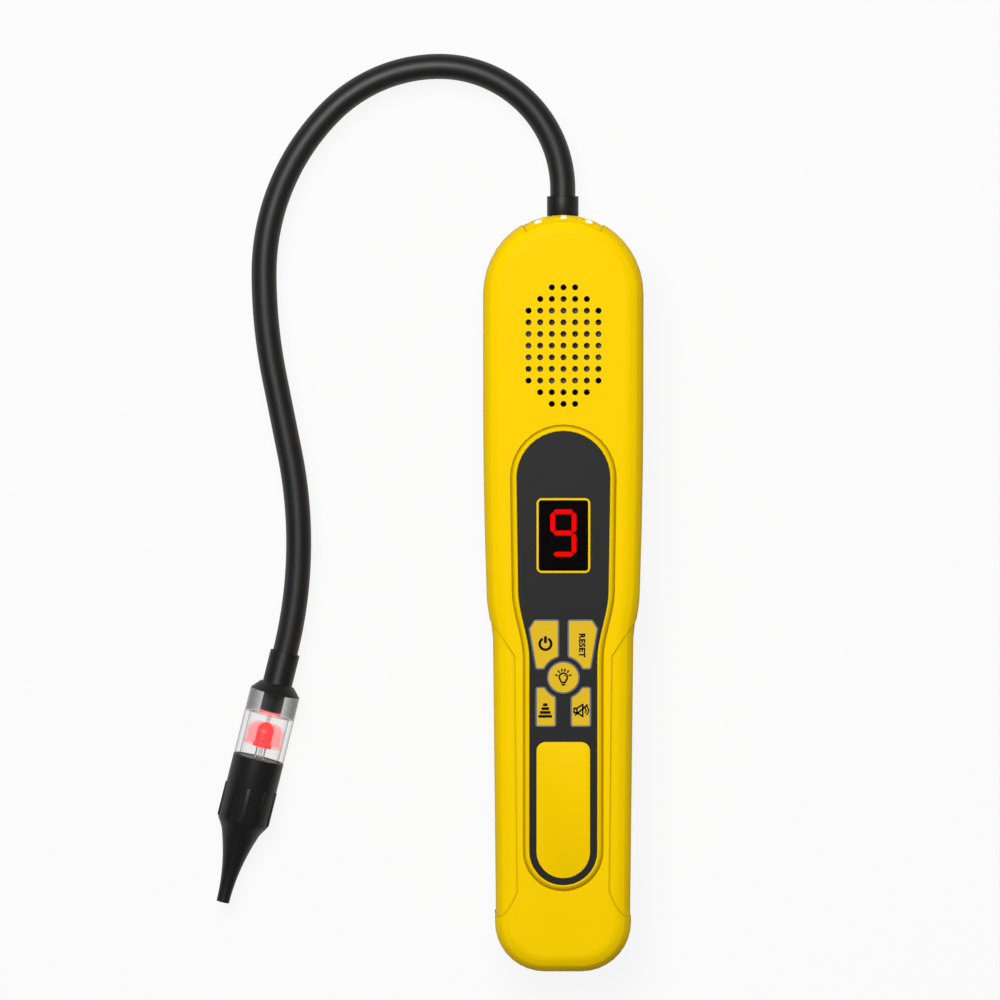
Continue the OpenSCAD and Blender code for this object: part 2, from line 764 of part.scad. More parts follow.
module lamp_leds() {
    r = lamp_d / 2;
    color([0.9, 0.9, 0.95, 0.7]) for (k = [-1:1]) {
        tip = lamp_tip(k * lamp_pitch);
        translate([k * lamp_pitch, tip, lamp_z]) rotate([90, 0, 0]) {
            translate([0, 0, r]) sphere(r);
            translate([0, 0, r]) cylinder(r = r, h = lamp_len - r);
            translate([0, 0, lamp_len - lamp_flange_t]) cylinder(d = lamp_d + lamp_flange, h = lamp_flange_t);
            for (x = [-1, 1]) translate([x * 0.8, 0, lamp_len - 0.2])
                cylinder(d = 0.5, h = tip - lamp_len - lamp_base_y() + 0.2, $fn = 16);
        }
    }
}

module lamp_board() {
    color([0.1, 0.35, 0.2])
        translate([-lamp_board_w / 2, lamp_base_y() - lamp_board_t, front_in - lamp_board_h])
            cube([lamp_board_w, lamp_board_t, lamp_board_h - 0.4]);
}

module neck_ferrule() {
    color(BLACK) at_neck(ferrule_seat + ferrule_len) difference() {
        union() {
            cylinder(d = ferrule_d, h = ferrule_len);
            cylinder(d = ferrule_in_d, h = ferrule_len + ferrule_in);
        }
        translate([0, 0, -cut]) cylinder(d = neck_d + 2 * seat_gap, h = ferrule_len + ferrule_seat - neck_seat + cut);
    }
}

module neck_nut() {
    color(STEEL) at_neck(nose_y - nose_seat - wall - seat_gap - 1.2) difference() {
        cylinder(d = nut_d, h = nut_t);
        translate([0, 0, -cut]) cylinder(d = ferrule_in_d + 2 * pin_gap, h = nut_t + 2 * cut);
        for (a = [0:30:330]) rotate(a) translate([nut_d / 2, 0, -cut]) cylinder(d = 0.8, h = nut_t + 2 * cut, $fn = 16);
    }
}

// The neck's course: heading turns left from +Y, and each point follows from the bend before it
function ahead(h) = [-sin(h), cos(h)];
function outward(h) = [cos(h), sin(h)];
function neck_heading(k) = k == 0 ? 0 : neck_heading(k - 1) + neck_bends[k - 1][1];
function bend_centre(k) = neck_point(k) - sign(neck_bends[k][1]) * neck_bends[k][0] * outward(neck_heading(k));
function neck_point(k) =
    k == 0 ? [0, neck_seat]
    : let (b = neck_bends[k - 1])
      b[1] == 0 ? neck_point(k - 1) + b[0] * ahead(neck_heading(k - 1))
      : bend_centre(k - 1) + sign(b[1]) * b[0] * outward(neck_heading(k));

// Every station of the neck as X, Y and heading
function neck_stations() = concat(
    [[0, neck_seat, 0]],
    [for (k = [0:len(neck_bends) - 1])
     let (size = neck_bends[k][0], turn = neck_bends[k][1], steps = max(1, ceil(abs(turn) / neck_step)))
     for (j = [1:steps])
     let (h = neck_heading(k) + turn * j / steps)
     turn == 0 ? concat(neck_point(k + 1), h)
     : concat(bend_centre(k) + sign(turn) * size * outward(h), h)]);

module gooseneck() {
    color(BLACK) loft([for (s = neck_stations())
        [for (a = [0:neck_facet:360 - neck_facet])
         let (r = neck_d / 2 * cos(a))
         [s[0] + r * cos(s[2]), s[1] + r * sin(s[2]), neck_z - neck_d / 2 * sin(a)]]]);
}

// Places a piece on the axis of the sensing head, s from the mouth of the collar towards the tip
module on_head(s) {
    translate(concat(neck_point(head_end), neck_z)) rotate(neck_heading(head_end)) rotate([-90, 0, 0])
        translate([0, 0, s]) children();
}

module head_collar() {
    color(BLACK) on_head(0) rotate_extrude() polygon([
        [neck_d / 2 + seat_gap, 0], [collar_d / 2, 0], [collar_d / 2, collar_len], [cone_top_d / 2, collar_len],
        [tube_d / 2, tube_s], [spigot_d / 2, tube_s], [spigot_d / 2, tube_s + spigot_len],
        [lead_d, tube_s + spigot_len], [lead_d, collar_bore_len], [neck_d / 2 + seat_gap, collar_bore_len]]);
}

module sight_tube() {
    color([0.85, 0.9, 0.95, 0.35]) on_head(0) difference() {
        rotate_extrude() polygon([
            [tube_end_bore / 2, tube_s + seat_gap], [tube_d / 2, tube_s + seat_gap],
            [tube_d / 2, nozzle_s - slide_gap], [plug_d / 2, nozzle_s - slide_gap], [plug_d / 2, nozzle_s + plug_len],
            [tube_bore / 2, nozzle_s + plug_len], [tube_bore / 2, cavity_s], [tube_end_bore / 2, cavity_s]]);
        translate([0, lead_off, tube_s + spigot_len]) cylinder(d = lead_d + 2 * slide_gap, h = tube_end);
    }
}

module alarm_led() {
    r = led_d / 2;
    color(RED) on_head(led_s) {
        translate([0, 0, r]) sphere(r);
        translate([0, 0, r]) cylinder(r = r, h = led_len - r);
        translate([0, 0, led_len - led_flange_t]) cylinder(d = led_flange_d, h = led_flange_t);
        for (x = [-1, 1]) translate([x * led_lead_pitch / 2, 0, led_len - 0.2])
            cylinder(d = led_lead_d, h = base_s - led_s - led_len + 0.2, $fn = 16);
    }
}

// Thin red bell that spreads the lamp's light
module alarm_lens() {
    top = led_s + seat_gap;
    foot = led_s + led_len - 0.4;
    r = lens_d / 2;
    slot_w = lead_d + 2 * slide_gap;
    arc = [for (a = [90:-15:0]) [r - lens_round + lens_round * cos(a), top + lens_round * (1 - sin(a))]];
    inner = [for (a = [0:15:90])
             [r - lens_round + (lens_round - lens_t) * cos(a), top + lens_round - (lens_round - lens_t) * sin(a)]];
    color([0.95, 0.3, 0.3, 0.5]) on_head(0) difference() {
        rotate_extrude() polygon(concat(
            arc, [[r, foot - 1], [r + lens_foot, foot - 1], [r + lens_foot, foot], [r - lens_t, foot]], inner));
        translate([0, lead_off, top - cut]) cylinder(d = slot_w, h = lens_round + cut);
        translate([-slot_w / 2, 0, top - cut]) cube([slot_w, lead_off, lens_round + cut]);
    }
}

// Sleeved wire of the sensor, behind the lamp
module sensor_lead() {
    color([0.75, 0.75, 0.78]) on_head(cavity_s - tube_end + spigot_len + seat_gap) translate([0, lead_off, 0])
        cylinder(d = lead_d, h = base_s - cavity_s + tube_end - spigot_len - seat_gap, $fn = 24);
}

module sensor_base() {
    color(BLACK) on_head(base_s) cylinder(d = tube_bore - 2 * seat_gap, h = base_t);
}

module gas_sensor() {
    color(STEEL) on_head(base_s + base_t) {
        cylinder(d = sensor_d, h = sensor_len);
        cylinder(d = sensor_d + 2 * sensor_rim, h = sensor_rim_t);
    }
}

// Radius of the nozzle's long taper at a share of its length
function taper_radius(t) = tip_d / 2 + (taper_r - tip_d / 2) * pow(1 - t, 2);

module nozzle() {
    cup_r = nozzle_d / 2;
    outer = concat(
        [[nozzle_bore / 2, 0], [cup_r, 0], [cup_r, shoulder_s], [cup_r - 0.5, shoulder_s + 1.1],
         [cup_r - 1.1, shoulder_s + 2]],
        [for (j = [0:taper_steps])
         [taper_radius(j / taper_steps), lerp(taper_s, nozzle_len, j / taper_steps)]]);
    inner = [[tip_bore / 2, nozzle_len], [tip_bore / 2, filter_s - nozzle_s + filter_t + filter_throat],
             [filter_d / 2 - 0.8, filter_s - nozzle_s + filter_t + seat_gap],
             [filter_d / 2 + seat_gap, filter_s - nozzle_s + filter_t + seat_gap],
             [filter_d / 2 + seat_gap, filter_s - nozzle_s - 1], [nozzle_bore / 2, filter_s - nozzle_s - 1.8]];
    color(BLACK) on_head(nozzle_s) {
        rotate_extrude() polygon(concat(outer, inner));
        for (k = [0:rib_count - 1]) rotate(k * 360 / rib_count - 90) translate([cup_r - 0.4, -rib_w / 2, rib_s])
            cube([0.4 + rib_h, rib_w, rib_len]);
    }
}

module nozzle_filter() {
    color([0.9, 0.9, 0.88]) on_head(filter_s) cylinder(d = filter_d, h = filter_t);
}

module battery_door() {
    y1 = bay_top - door_gap;
    color(CHARCOAL) difference() {
        union() {
            translate([-door_half, hinge_y, door_lift]) cube([2 * door_half, y1 - hinge_y, door_t - door_lift]);
            translate([-door_half, hinge_y, hinge_z]) rotate([0, 90, 0]) cylinder(r = hinge_r, h = 2 * door_half);
            translate([-door_half - hinge_pin_len, hinge_y, hinge_z]) rotate([0, 90, 0])
                cylinder(d = hinge_pin_d, h = 2 * (door_half + hinge_pin_len));
        }
        for (k = [0:4]) translate([-grip_groove[0] / 2, y1 - 6 - k * grip_groove_pitch, -cut])
            cube([grip_groove[0], grip_groove[1], cut + grip_groove[2]]);
    }
}

// The cells lie in two rows of two, the rows facing opposite ways
module battery_rows() {
    for (x = [-1, 1]) translate([x * cell_pitch / 2, (bay_foot + bay_top) / 2, cell_z])
        rotate(x > 0 ? 0 : 180) translate([0, bay_foot / 2 - bay_top / 2, 0]) children();
}

module battery_cells() {
    color([0.75, 0.55, 0.3]) battery_rows() for (k = [0, 1])
        translate([0, plate_t + spring_len + 0.1 + k * (cell_len + 0.1), 0]) rotate([-90, 0, 0]) {
            cylinder(d = cell_d, h = cell_len - button_len);
            cylinder(d = button_d, h = cell_len);
        }
}

function spring_ring(a) =
    let (t = a / (360 * spring_turns),
         r = lerp(spring_d, spring_tip_d, t) / 2,
         y = lerp(plate_t, plate_t + spring_len - spring_wire / 2, t))
    [for (b = [0:60:300])
     let (q = r + spring_wire / 2 * cos(b))
     [q * cos(a), y + spring_wire / 2 * sin(b), q * sin(a)]];

module battery_contacts() {
    span = bay_top - bay_foot;
    color(STEEL) battery_rows() {
        for (y = [seat_gap / 2, span - plate_t]) translate([-contact_w / 2, y, -contact_w / 2])
            cube([contact_w, plate_t - seat_gap / 2, contact_w]);
        loft([for (a = [0:24:360 * spring_turns]) spring_ring(a)]);
    }
}

module case_screws() {
    color(STEEL) for (p = screw_spots) translate([p[0], p[1], 0]) {
        translate([0, 0, screw_seat_z - screw_head_t]) cylinder(d = screw_head_d, h = screw_head_t);
        translate([0, 0, screw_seat_z - 0.2]) cylinder(d = screw_d, h = screw_len + 0.2);
    }
}

front_shell();
rear_shell();
panel_rim();
control_panel();
label_plate();
display_bezel();
display_window();
display_module();
digit_segments();
power_key();
reset_key();
lamp_key();
sensitivity_key();
mute_key();
tact_switches();
main_board();
board_screws();
speaker();
lamp_leds();
lamp_board();
neck_ferrule();
neck_nut();
gooseneck();
head_collar();
sight_tube();
alarm_lens();
alarm_led();
sensor_lead();
sensor_base();
gas_sensor();
nozzle();
nozzle_filter();
battery_door();
battery_cells();
battery_contacts();
case_screws();
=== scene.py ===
"""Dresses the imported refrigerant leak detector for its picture.

The CAD solids give every size and place. This file adds finer meshes where the solids are plain,
the symbols on the keys, the finishes, the light and the camera.
"""

import math

import bmesh
import bpy
from mathutils import Matrix, Vector
from mathutils.geometry import delaunay_2d_cdt
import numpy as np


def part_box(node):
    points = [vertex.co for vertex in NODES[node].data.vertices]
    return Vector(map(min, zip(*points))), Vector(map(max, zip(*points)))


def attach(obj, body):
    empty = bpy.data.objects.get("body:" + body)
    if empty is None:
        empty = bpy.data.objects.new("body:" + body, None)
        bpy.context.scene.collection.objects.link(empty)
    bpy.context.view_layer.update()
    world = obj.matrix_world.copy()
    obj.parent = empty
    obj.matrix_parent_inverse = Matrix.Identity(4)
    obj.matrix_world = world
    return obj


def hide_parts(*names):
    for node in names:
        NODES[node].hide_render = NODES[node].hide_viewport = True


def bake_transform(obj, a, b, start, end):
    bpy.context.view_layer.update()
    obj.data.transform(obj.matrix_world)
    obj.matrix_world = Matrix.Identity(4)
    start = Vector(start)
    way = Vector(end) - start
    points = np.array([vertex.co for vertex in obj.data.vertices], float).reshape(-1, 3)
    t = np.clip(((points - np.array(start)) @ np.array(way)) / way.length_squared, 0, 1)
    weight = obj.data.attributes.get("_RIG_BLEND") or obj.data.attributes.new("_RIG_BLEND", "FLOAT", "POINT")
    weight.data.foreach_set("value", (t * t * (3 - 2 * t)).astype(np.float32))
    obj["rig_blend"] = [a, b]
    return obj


bl_info = {
    "name": "Refrigerant leak detector",
    "version": (1, 0, 0),
    "blender": (4, 5, 0),
    "location": "View3D > Sidebar > Leak detector",
    "description": "Builds the looks of a handheld refrigerant leak detector on its CAD frame",
    "category": "Object",
}

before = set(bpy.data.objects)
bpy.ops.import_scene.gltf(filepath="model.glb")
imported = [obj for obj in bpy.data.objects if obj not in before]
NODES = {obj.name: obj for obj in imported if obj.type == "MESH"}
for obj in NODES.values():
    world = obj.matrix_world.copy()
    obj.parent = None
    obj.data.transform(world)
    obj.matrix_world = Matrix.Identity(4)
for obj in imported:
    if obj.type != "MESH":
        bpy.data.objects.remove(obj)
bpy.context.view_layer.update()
MM = 0.001
PIXELS = 1000


def middle(node):
    """Centre of a CAD node's box."""
    low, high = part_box(node)
    return (low + high) / 2


def span(node):
    """Size of a CAD node's box."""
    low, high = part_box(node)
    return high - low


# The neck leaves the ferrule straight and then follows these bends: radius and turn, or length and 0.
NECK_BENDS = ((37.1, 90), (46.2, 45), (69, 45), (159, 11.3), (23.4, 0), (137, -25.4))
NECK_LEAD = 1.9
NECK_IN_FERRULE = 11.0
NECK_IN_COLLAR = 7.6
NECK_Z = middle("neck_ferrule").z
NECK_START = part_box("neck_ferrule")[1].y + NECK_LEAD * MM


def neck_route(step=1.5):
    """Points along the middle of the neck, and the place and heading of its far end."""
    x, y, heading = 0.0, NECK_START / MM, 0.0
    route = [(x, y - NECK_LEAD - NECK_IN_FERRULE), (x, y - NECK_LEAD), (x, y)]
    for size, turn in NECK_BENDS:
        start = math.radians(heading)
        if turn == 0:
            steps = max(1, round(size / step))
            for k in range(1, steps + 1):
                route.append((x - size * k / steps * math.sin(start), y + size * k / steps * math.cos(start)))
        else:
            side = math.copysign(1, turn)
            cx = x - side * size * math.cos(start)
            cy = y - side * size * math.sin(start)
            steps = max(2, round(abs(math.radians(turn)) * size / step))
            for k in range(1, steps + 1):
                angle = math.radians(heading + turn * k / steps)
                route.append((cx + side * size * math.cos(angle), cy + side * size * math.sin(angle)))
            heading += turn
        x, y = route[-1]
    ahead = (-math.sin(math.radians(heading)), math.cos(math.radians(heading)))
    route.append((x + NECK_IN_COLLAR * ahead[0], y + NECK_IN_COLLAR * ahead[1]))
    points = [Vector((a * MM, b * MM, NECK_Z)) for a, b in route]
    return points, Vector((x * MM, y * MM, NECK_Z)), heading


NECK_POINTS, HEAD_PLACE, HEAD_HEADING = neck_route()
# Turns a piece made along +Z, in millimetres from the collar's mouth, onto the head's axis
HEAD_FRAME = (
    Matrix.Translation(HEAD_PLACE)
    @ Matrix.Rotation(math.radians(HEAD_HEADING), 4, "Z")
    @ Matrix.Rotation(math.radians(-90), 4, "X")
    @ Matrix.Scale(MM, 4)
)
HEAD_AXIS = (HEAD_FRAME.to_3x3() @ Vector((0, 0, 1))).normalized()


class DetectorSizes(bpy.types.PropertyGroup):
    """Sizes that the solids leave open."""

    edge_round: bpy.props.FloatProperty(
        name="Edge round", description="Radius on the crisp edges of the moulded pieces",
        default=0.12 * MM, min=0.0, unit="LENGTH")
    ink_lift: bpy.props.FloatProperty(
        name="Ink height", description="Height of the printed symbols above the keys",
        default=0.02 * MM, min=0.0, unit="LENGTH")
    neck_facets: bpy.props.IntProperty(
        name="Neck facets", description="Sides round the gooseneck", default=40, min=8)
    lathe_facets: bpy.props.IntProperty(
        name="Turned facets", description="Sides round the turned pieces of the head", default=96, min=24)
    rib_count: bpy.props.IntProperty(
        name="Nozzle ribs", description="Number of grip ribs round the nozzle", default=9, min=3)


def colour(name, text, value):
    """A colour property with its default."""
    return bpy.props.FloatVectorProperty(
        name=name, description=text, subtype="COLOR", size=3, min=0.0, max=1.0, default=value)


class DetectorColours(bpy.types.PropertyGroup):
    """Colours of the finishes."""

    shell: colour("Shell", "Moulded yellow of the front shell", (0.97, 0.64, 0.001))
    label: colour("Label", "Yellow of the bare plate and the display's line", (0.95, 0.62, 0.001))
    back: colour("Back", "Textured black of the rear shell", (0.018, 0.018, 0.019))
    panel: colour("Panel", "Satin black of the control panel", (0.011, 0.011, 0.0113))
    key: colour("Key", "Amber of the key tops", (0.77, 0.50, 0.014))
    key_edge: colour("Key edge", "Grey blue line round each key", (0.15, 0.155, 0.18))
    ink: colour("Ink", "Printed symbols", (0.006, 0.006, 0.006))
    digit: colour("Digit", "Lit bars of the display", (1.0, 0.0, 0.0))
    neck: colour("Neck", "Sleeve of the gooseneck", (0.010, 0.010, 0.0102))
    fitting: colour("Fitting", "Black of the collar and nozzle", (0.011, 0.011, 0.0115))
    lamp: colour("Red lamp", "Red lamp in the head", (0.95, 0.03, 0.03))


class DetectorStage(bpy.types.PropertyGroup):
    """Camera and light."""

    distance: bpy.props.FloatProperty(
        name="Distance", description="Camera distance", default=2.0, min=0.5, unit="LENGTH")
    tilt: bpy.props.FloatProperty(
        name="Tilt", description="Lean of the camera towards the nose",
        default=math.radians(2.7), subtype="ANGLE")
    pixel: bpy.props.FloatProperty(
        name="Pixel", description="Size on the front face that one picture point shows",
        default=0.298 * MM, precision=6, unit="LENGTH")
    aim: bpy.props.FloatVectorProperty(
        name="Aim", description="Point in the middle of the picture", size=3,
        default=(-0.0189, 0.0106, 0.033), subtype="XYZ")
    key_power: bpy.props.FloatProperty(
        name="Key light", description="Large soft light in front", default=27.0)
    rim_power: bpy.props.FloatProperty(
        name="Rim light", description="Narrow light low on the right", default=0.3)
    ambient: bpy.props.FloatProperty(
        name="Ambient", description="Strength of the even light", default=0.06)


class Wire:
    """A shader socket that takes part in Python expressions."""

    def __init__(self, recipe, socket):
        self.recipe = recipe
        self.socket = socket

    def _math(self, operation, first, second):
        node = self.recipe.add("ShaderNodeMath", {"operation": operation}, {0: first, 1: second})
        return Wire(self.recipe, node.outputs[0])

    def __add__(self, other):
        return self._math("ADD", self, other)

    def __rsub__(self, other):
        return self._math("SUBTRACT", other, self)

    def __mul__(self, other):
        return self._math("MULTIPLY", self, other)

    def maximum(self, other):
        return self._math("MAXIMUM", self, other)


class Recipe:
    """A material under construction: its node tree and the nodes that most finishes share."""

    def __init__(self, name):
        self.material = bpy.data.materials.new(name)
        self.material.use_nodes = True
        self.tree = self.material.node_tree
        self.tree.nodes.clear()
        self.output = self.add("ShaderNodeOutputMaterial", {}, {})

    def add(self, kind, settings, inputs):
        """Adds a node: settings first, then values or links of its sockets."""
        node = self.tree.nodes.new(kind)
        for key, value in settings.items():
            setattr(node, key, value)
        for key, value in inputs.items():
            self.feed(node.inputs[key], value)
        return node

    def feed(self, socket, value):
        """Links a wire to a socket, or sets the socket's own value."""
        if isinstance(value, Wire):
            self.tree.links.new(value.socket, socket)
        elif socket.type == "RGBA":
            socket.default_value = (*value, 1.0)
        else:
            socket.default_value = value

    def wire(self, node, name=0):
        return Wire(self, node.outputs[name])

    def place(self):
        """Object coordinates."""
        return self.wire(self.add("ShaderNodeTexCoord", {}, {}), "Object")

    def vector(self, operation, first, second):
        return self.add("ShaderNodeVectorMath", {"operation": operation}, {0: first, 1: second})

    def measure(self, start, axis):
        """Distances along an axis from a place and out from that axis, in metres."""
        offset = self.wire(self.vector("SUBTRACT", self.place(), start))
        along = self.wire(self.vector("DOT_PRODUCT", offset, axis), "Value")
        aside = self.wire(self.vector("CROSS_PRODUCT", offset, axis))
        length = self.add("ShaderNodeVectorMath", {"operation": "LENGTH"}, {0: aside})
        return along, self.wire(length, "Value")

    def noise(self, scale, detail=2.0, rough=0.5):
        node = self.add("ShaderNodeTexNoise", {}, {
            "Vector": self.place(), "Scale": scale, "Detail": detail, "Roughness": rough})
        return self.wire(node, "Fac")

    def crease(self, reach):
        """Ambient occlusion: 0 on open faces, and more in tight corners, where it drives painted shade."""
        node = self.add("ShaderNodeAmbientOcclusion", {"samples": 8}, {"Distance": reach})
        return 1.0 - self.wire(node, "AO")

    def mask(self, distance, reach, stops):
        """A grey value over a distance. The reach and the places of the stops are in millimetres."""
        node = self.add("ShaderNodeValToRGB", {}, {"Fac": distance * (1 / (reach * MM))})
        elements = node.color_ramp.elements
        while len(elements) < len(stops):
            elements.new(0.5)
        for element, (place, grey) in zip(elements, stops):
            element.position = place / reach
            element.color = (grey, grey, grey, 1.0)
        return self.wire(node, "Color")

    def blend(self, factor, first, second):
        """Mixes two colours."""
        node = self.add("ShaderNodeMix", {"data_type": "RGBA"}, {0: factor, 6: first, 7: second})
        return self.wire(node, 2)

    def bump(self, height, strength, depth):
        node = self.add("ShaderNodeBump", {}, {"Height": height, "Strength": strength, "Distance": depth})
        return self.wire(node, "Normal")

    def plastic(self, **sockets):
        """The main shader, with its sockets named in words."""
        node = self.add("ShaderNodeBsdfPrincipled", {}, {})
        for key, value in sockets.items():
            self.feed(node.inputs[key.replace("_", " ").title().replace("Ior", "IOR")], value)
        return self.wire(node, "BSDF")

    def finish(self, shader):
        """Ends in a shader."""
        self.tree.links.new(shader.socket, self.output.inputs["Surface"])
        return self.material

    def surface(self, **sockets):
        """Ends in the main shader."""
        return self.finish(self.plastic(**sockets))


FINISHES = {}
GLOW_RED = (1.0, 0.1, 0.1)
CREASE_REACH = 1.0 * MM


def shade(tint, factor):
    """A colour made lighter or darker."""
    return tuple(min(1.0, c * factor) for c in tint)


def moulded(name, tint, rough, grain, depth, mirror=0.3, mottle=0.06, crease_shade=0.0):
    """Moulded plastic: faint mottling, uneven gloss, a fine grain and painted shade in its creases."""
    r = Recipe(name)
    patch = r.noise(38.0, 3.0)
    fine = r.noise(grain, 2.0, 0.6)
    base = r.blend(patch, shade(tint, 1 - mottle), shade(tint, 1 + mottle))
    if crease_shade:
        # Painted shade: darker in tight corners, where ambient occlusion finds them.
        base = r.blend(r.crease(CREASE_REACH) * crease_shade, base, shade(tint, 0.6))
    gloss = r.noise(420.0) * 0.1 + patch * 0.06 + (rough - 0.08)
    return r.surface(
        base_color=base, roughness=gloss, specular_ior_level=mirror, normal=r.bump(fine, 0.25, depth))


def turned_black(name, tint, rough):
    """Black of the fittings, with uneven gloss and a fine grain."""
    r = Recipe(name)
    patch = r.noise(60.0, 3.0)
    fine = r.noise(2600.0, 2.0, 0.6)
    base = r.blend(patch, shade(tint, 0.85), shade(tint, 1.2))
    gloss = patch * 0.12 + r.noise(900.0) * 0.08 + (rough - 0.1)
    return r.surface(
        base_color=base, roughness=gloss, specular_ior_level=0.2, normal=r.bump(fine, 0.2, 0.00003))


def sleeve(name, tint):
    """Satin rubber sleeve of the neck with a very fine grain."""
    r = Recipe(name)
    patch = r.noise(55.0, 3.0)
    fine = r.noise(1900.0, 3.0, 0.6)
    base = r.blend(patch, shade(tint, 0.8), shade(tint, 1.25))
    gloss = patch * 0.1 + fine * 0.08 + 0.36
    return r.surface(
        base_color=base, roughness=gloss, specular_ior_level=0.35, normal=r.bump(fine, 0.22, 0.00003))


def clear_acrylic(name):
    """Clear acrylic: a greyer solid end with a painted red glow, and a thin wall that shows mostly at its
    edges.
    """
    r = Recipe(name)
    flow = r.noise(90.0)
    streak = r.noise(700.0, 3.0)
    along, out = r.measure(HEAD_PLACE, HEAD_AXIS)
    solid = r.mask(along, 40.0, ((19.32, 1.0), (19.6, 0.0)))
    # Painted glow: a red ring where the lamp's light falls on the end of the bore, painted as colour and
    # emission.
    glow = r.mask(along, 40.0, ((18.0, 0.0), (18.56, 1.0), (19.6, 1.0), (19.76, 0.0)))
    glow = glow * r.mask(out, 10.0, ((3.8, 1.0), (4.8, 0.0)))
    edge = r.wire(r.add("ShaderNodeLayerWeight", {}, {"Blend": 0.5}), "Facing")
    wall = edge * edge * edge * edge * 0.9 + flow * 0.03 + 0.015
    block = edge * (1.0 - edge) * 2.2 + streak * 0.12
    tone = r.blend(solid, (0.12, 0.12, 0.122), (0.11, 0.108, 0.108))
    clarity = (block * solid + wall * (1.0 - solid)).maximum(glow * 0.5)
    return r.surface(
        base_color=r.blend(glow, tone, GLOW_RED), roughness=flow * 0.06 + 0.28, specular_ior_level=0.12,
        alpha=clarity, emission_color=r.blend(glow, (0.0, 0.0, 0.0), GLOW_RED), emission_strength=0.6)


def tinted_lens(name, tint, see_through):
    """Thin tinted plastic that lets light through, with a painted glow standing in for the lamp's light in it.
    """
    r = Recipe(name)
    flow = r.noise(160.0)
    base = r.blend(flow, shade(tint, 0.92), shade(tint, 1.05))
    # Painted glow: emission on the lens and the lead, which are no lamps.
    return r.surface(
        base_color=base, roughness=flow * 0.1 + 0.2, alpha=see_through, emission_color=base,
        emission_strength=0.5)


def lit(name, tint, strength, rough=0.3):
    """A lit surface with a faint grain."""
    r = Recipe(name)
    grain = r.noise(700.0)
    glow = r.blend(grain, shade(tint, 0.9), tint)
    return r.surface(
        base_color=shade(tint, 0.8), roughness=rough, specular_ior_level=0.1, emission_color=glow,
        emission_strength=strength)


def smoked(name):
    """Smoked window: dark, glossy and a little see-through."""
    r = Recipe(name)
    dust = r.noise(240.0, 3.0)
    return r.surface(
        base_color=(0.004, 0.003, 0.003), roughness=dust * 0.08 + 0.12, alpha=0.6, specular_ior_level=0.03)


def metal(name, tint, rough):
    """Plated metal with fine scratches."""
    r = Recipe(name)
    streak = r.noise(900.0, 3.0, 0.7)
    base = r.blend(streak, shade(tint, 0.85), shade(tint, 1.1))
    return r.surface(
        base_color=base, metallic=1.0, roughness=streak * 0.2 + rough, normal=r.bump(streak, 0.1, 0.00002))


def board(name):
    """Lacquered circuit board with traces."""
    r = Recipe(name)
    brick = r.add("ShaderNodeTexBrick", {"offset": 0.3}, {
        "Vector": r.place(), "Scale": 160.0, "Mortar Size": 0.05,
        "Color1": (0.012, 0.11, 0.045), "Color2": (0.01, 0.09, 0.038), "Mortar": (0.03, 0.2, 0.09)})
    return r.surface(
        base_color=r.wire(brick, "Color"), roughness=r.noise(300.0) * 0.15 + 0.25, coat_weight=0.3)


def pressed(name, dark, light, grain, rough, strength, depth):
    """Pressed fibre, such as felt or a paper cone."""
    r = Recipe(name)
    fibre = r.noise(grain, 4.0, 0.7)
    base = r.blend(fibre, dark, light)
    return r.surface(base_color=base, roughness=rough, normal=r.bump(fibre, strength, depth))


def make_finishes(colours):
    """Makes every finish once."""
    FINISHES.update({
        # The shell's grooves and recess edges get painted shade.
        "yellow": moulded("shell yellow", colours.shell, 0.42, 2400.0, 0.00002,
                          mirror=0.02, mottle=0.02, crease_shade=6.0),
        "label": moulded("label yellow", colours.label, 0.4, 2400.0, 0.00002,
                         mirror=0.02, mottle=0.02),
        "charcoal": moulded("textured black", colours.back, 0.55, 1500.0, 0.00008),
        "panel": moulded("panel black", colours.panel, 0.46, 2600.0, 0.00003, mirror=0.18, mottle=0.1),
        "key": moulded("key amber", colours.key, 0.5, 2200.0, 0.00003, mirror=0.1, mottle=0.03),
        "key_edge": moulded("key edge grey", colours.key_edge, 0.5, 2200.0, 0.00003),
        "ink": moulded("printed ink", colours.ink, 0.5, 2600.0, 0.00001, mirror=0.05),
        "digit": lit("lit bar", colours.digit, 6.0),
        "unlit": moulded("unlit bar", (0.008, 0.004, 0.004), 0.5, 2600.0, 0.00001),
        "window": smoked("smoked window"),
        "neck": sleeve("neck sleeve", colours.neck),
        "fitting": turned_black("fitting black", colours.fitting, 0.42),
        "clear": clear_acrylic("clear acrylic"),
        "lens": tinted_lens("red lens", GLOW_RED, 0.22),
        "lamp": lit("red lamp", colours.lamp, 1.0),
        "white_lamp": lit("white lamp", (0.95, 0.95, 1.0), 1.2, 0.1),
        "lead": tinted_lens("lead sleeve", (0.4, 0.4, 0.42), 0.35),
        "steel": metal("plated steel", (0.6, 0.6, 0.62), 0.25),
        "brass": metal("plated brass", (0.7, 0.5, 0.24), 0.25),
        "board": board("circuit board"),
        "felt": pressed("filter felt", (0.62, 0.62, 0.6), (0.85, 0.85, 0.83), 2200.0, 0.95, 0.6, 0.0001),
        "cone": pressed("speaker cone", (0.05, 0.054, 0.08), (0.1, 0.105, 0.145), 1500.0, 0.75, 0.4, 0.00005),
        "cell": moulded("cell sleeve", (0.05, 0.06, 0.08), 0.35, 1800.0, 0.00002),
    })


def piece(name, mesh, body, slot, *replaced, finish=None):
    """Makes an object of a mesh that is already in place, and ties it to the frame."""
    obj = bpy.data.objects.new(name, mesh)
    bpy.context.scene.collection.objects.link(obj)
    if finish:
        mesh.materials.clear()
        mesh.materials.append(FINISHES[finish])
    if body:
        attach(obj, body)
    if replaced:
        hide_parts(*replaced)
    return obj


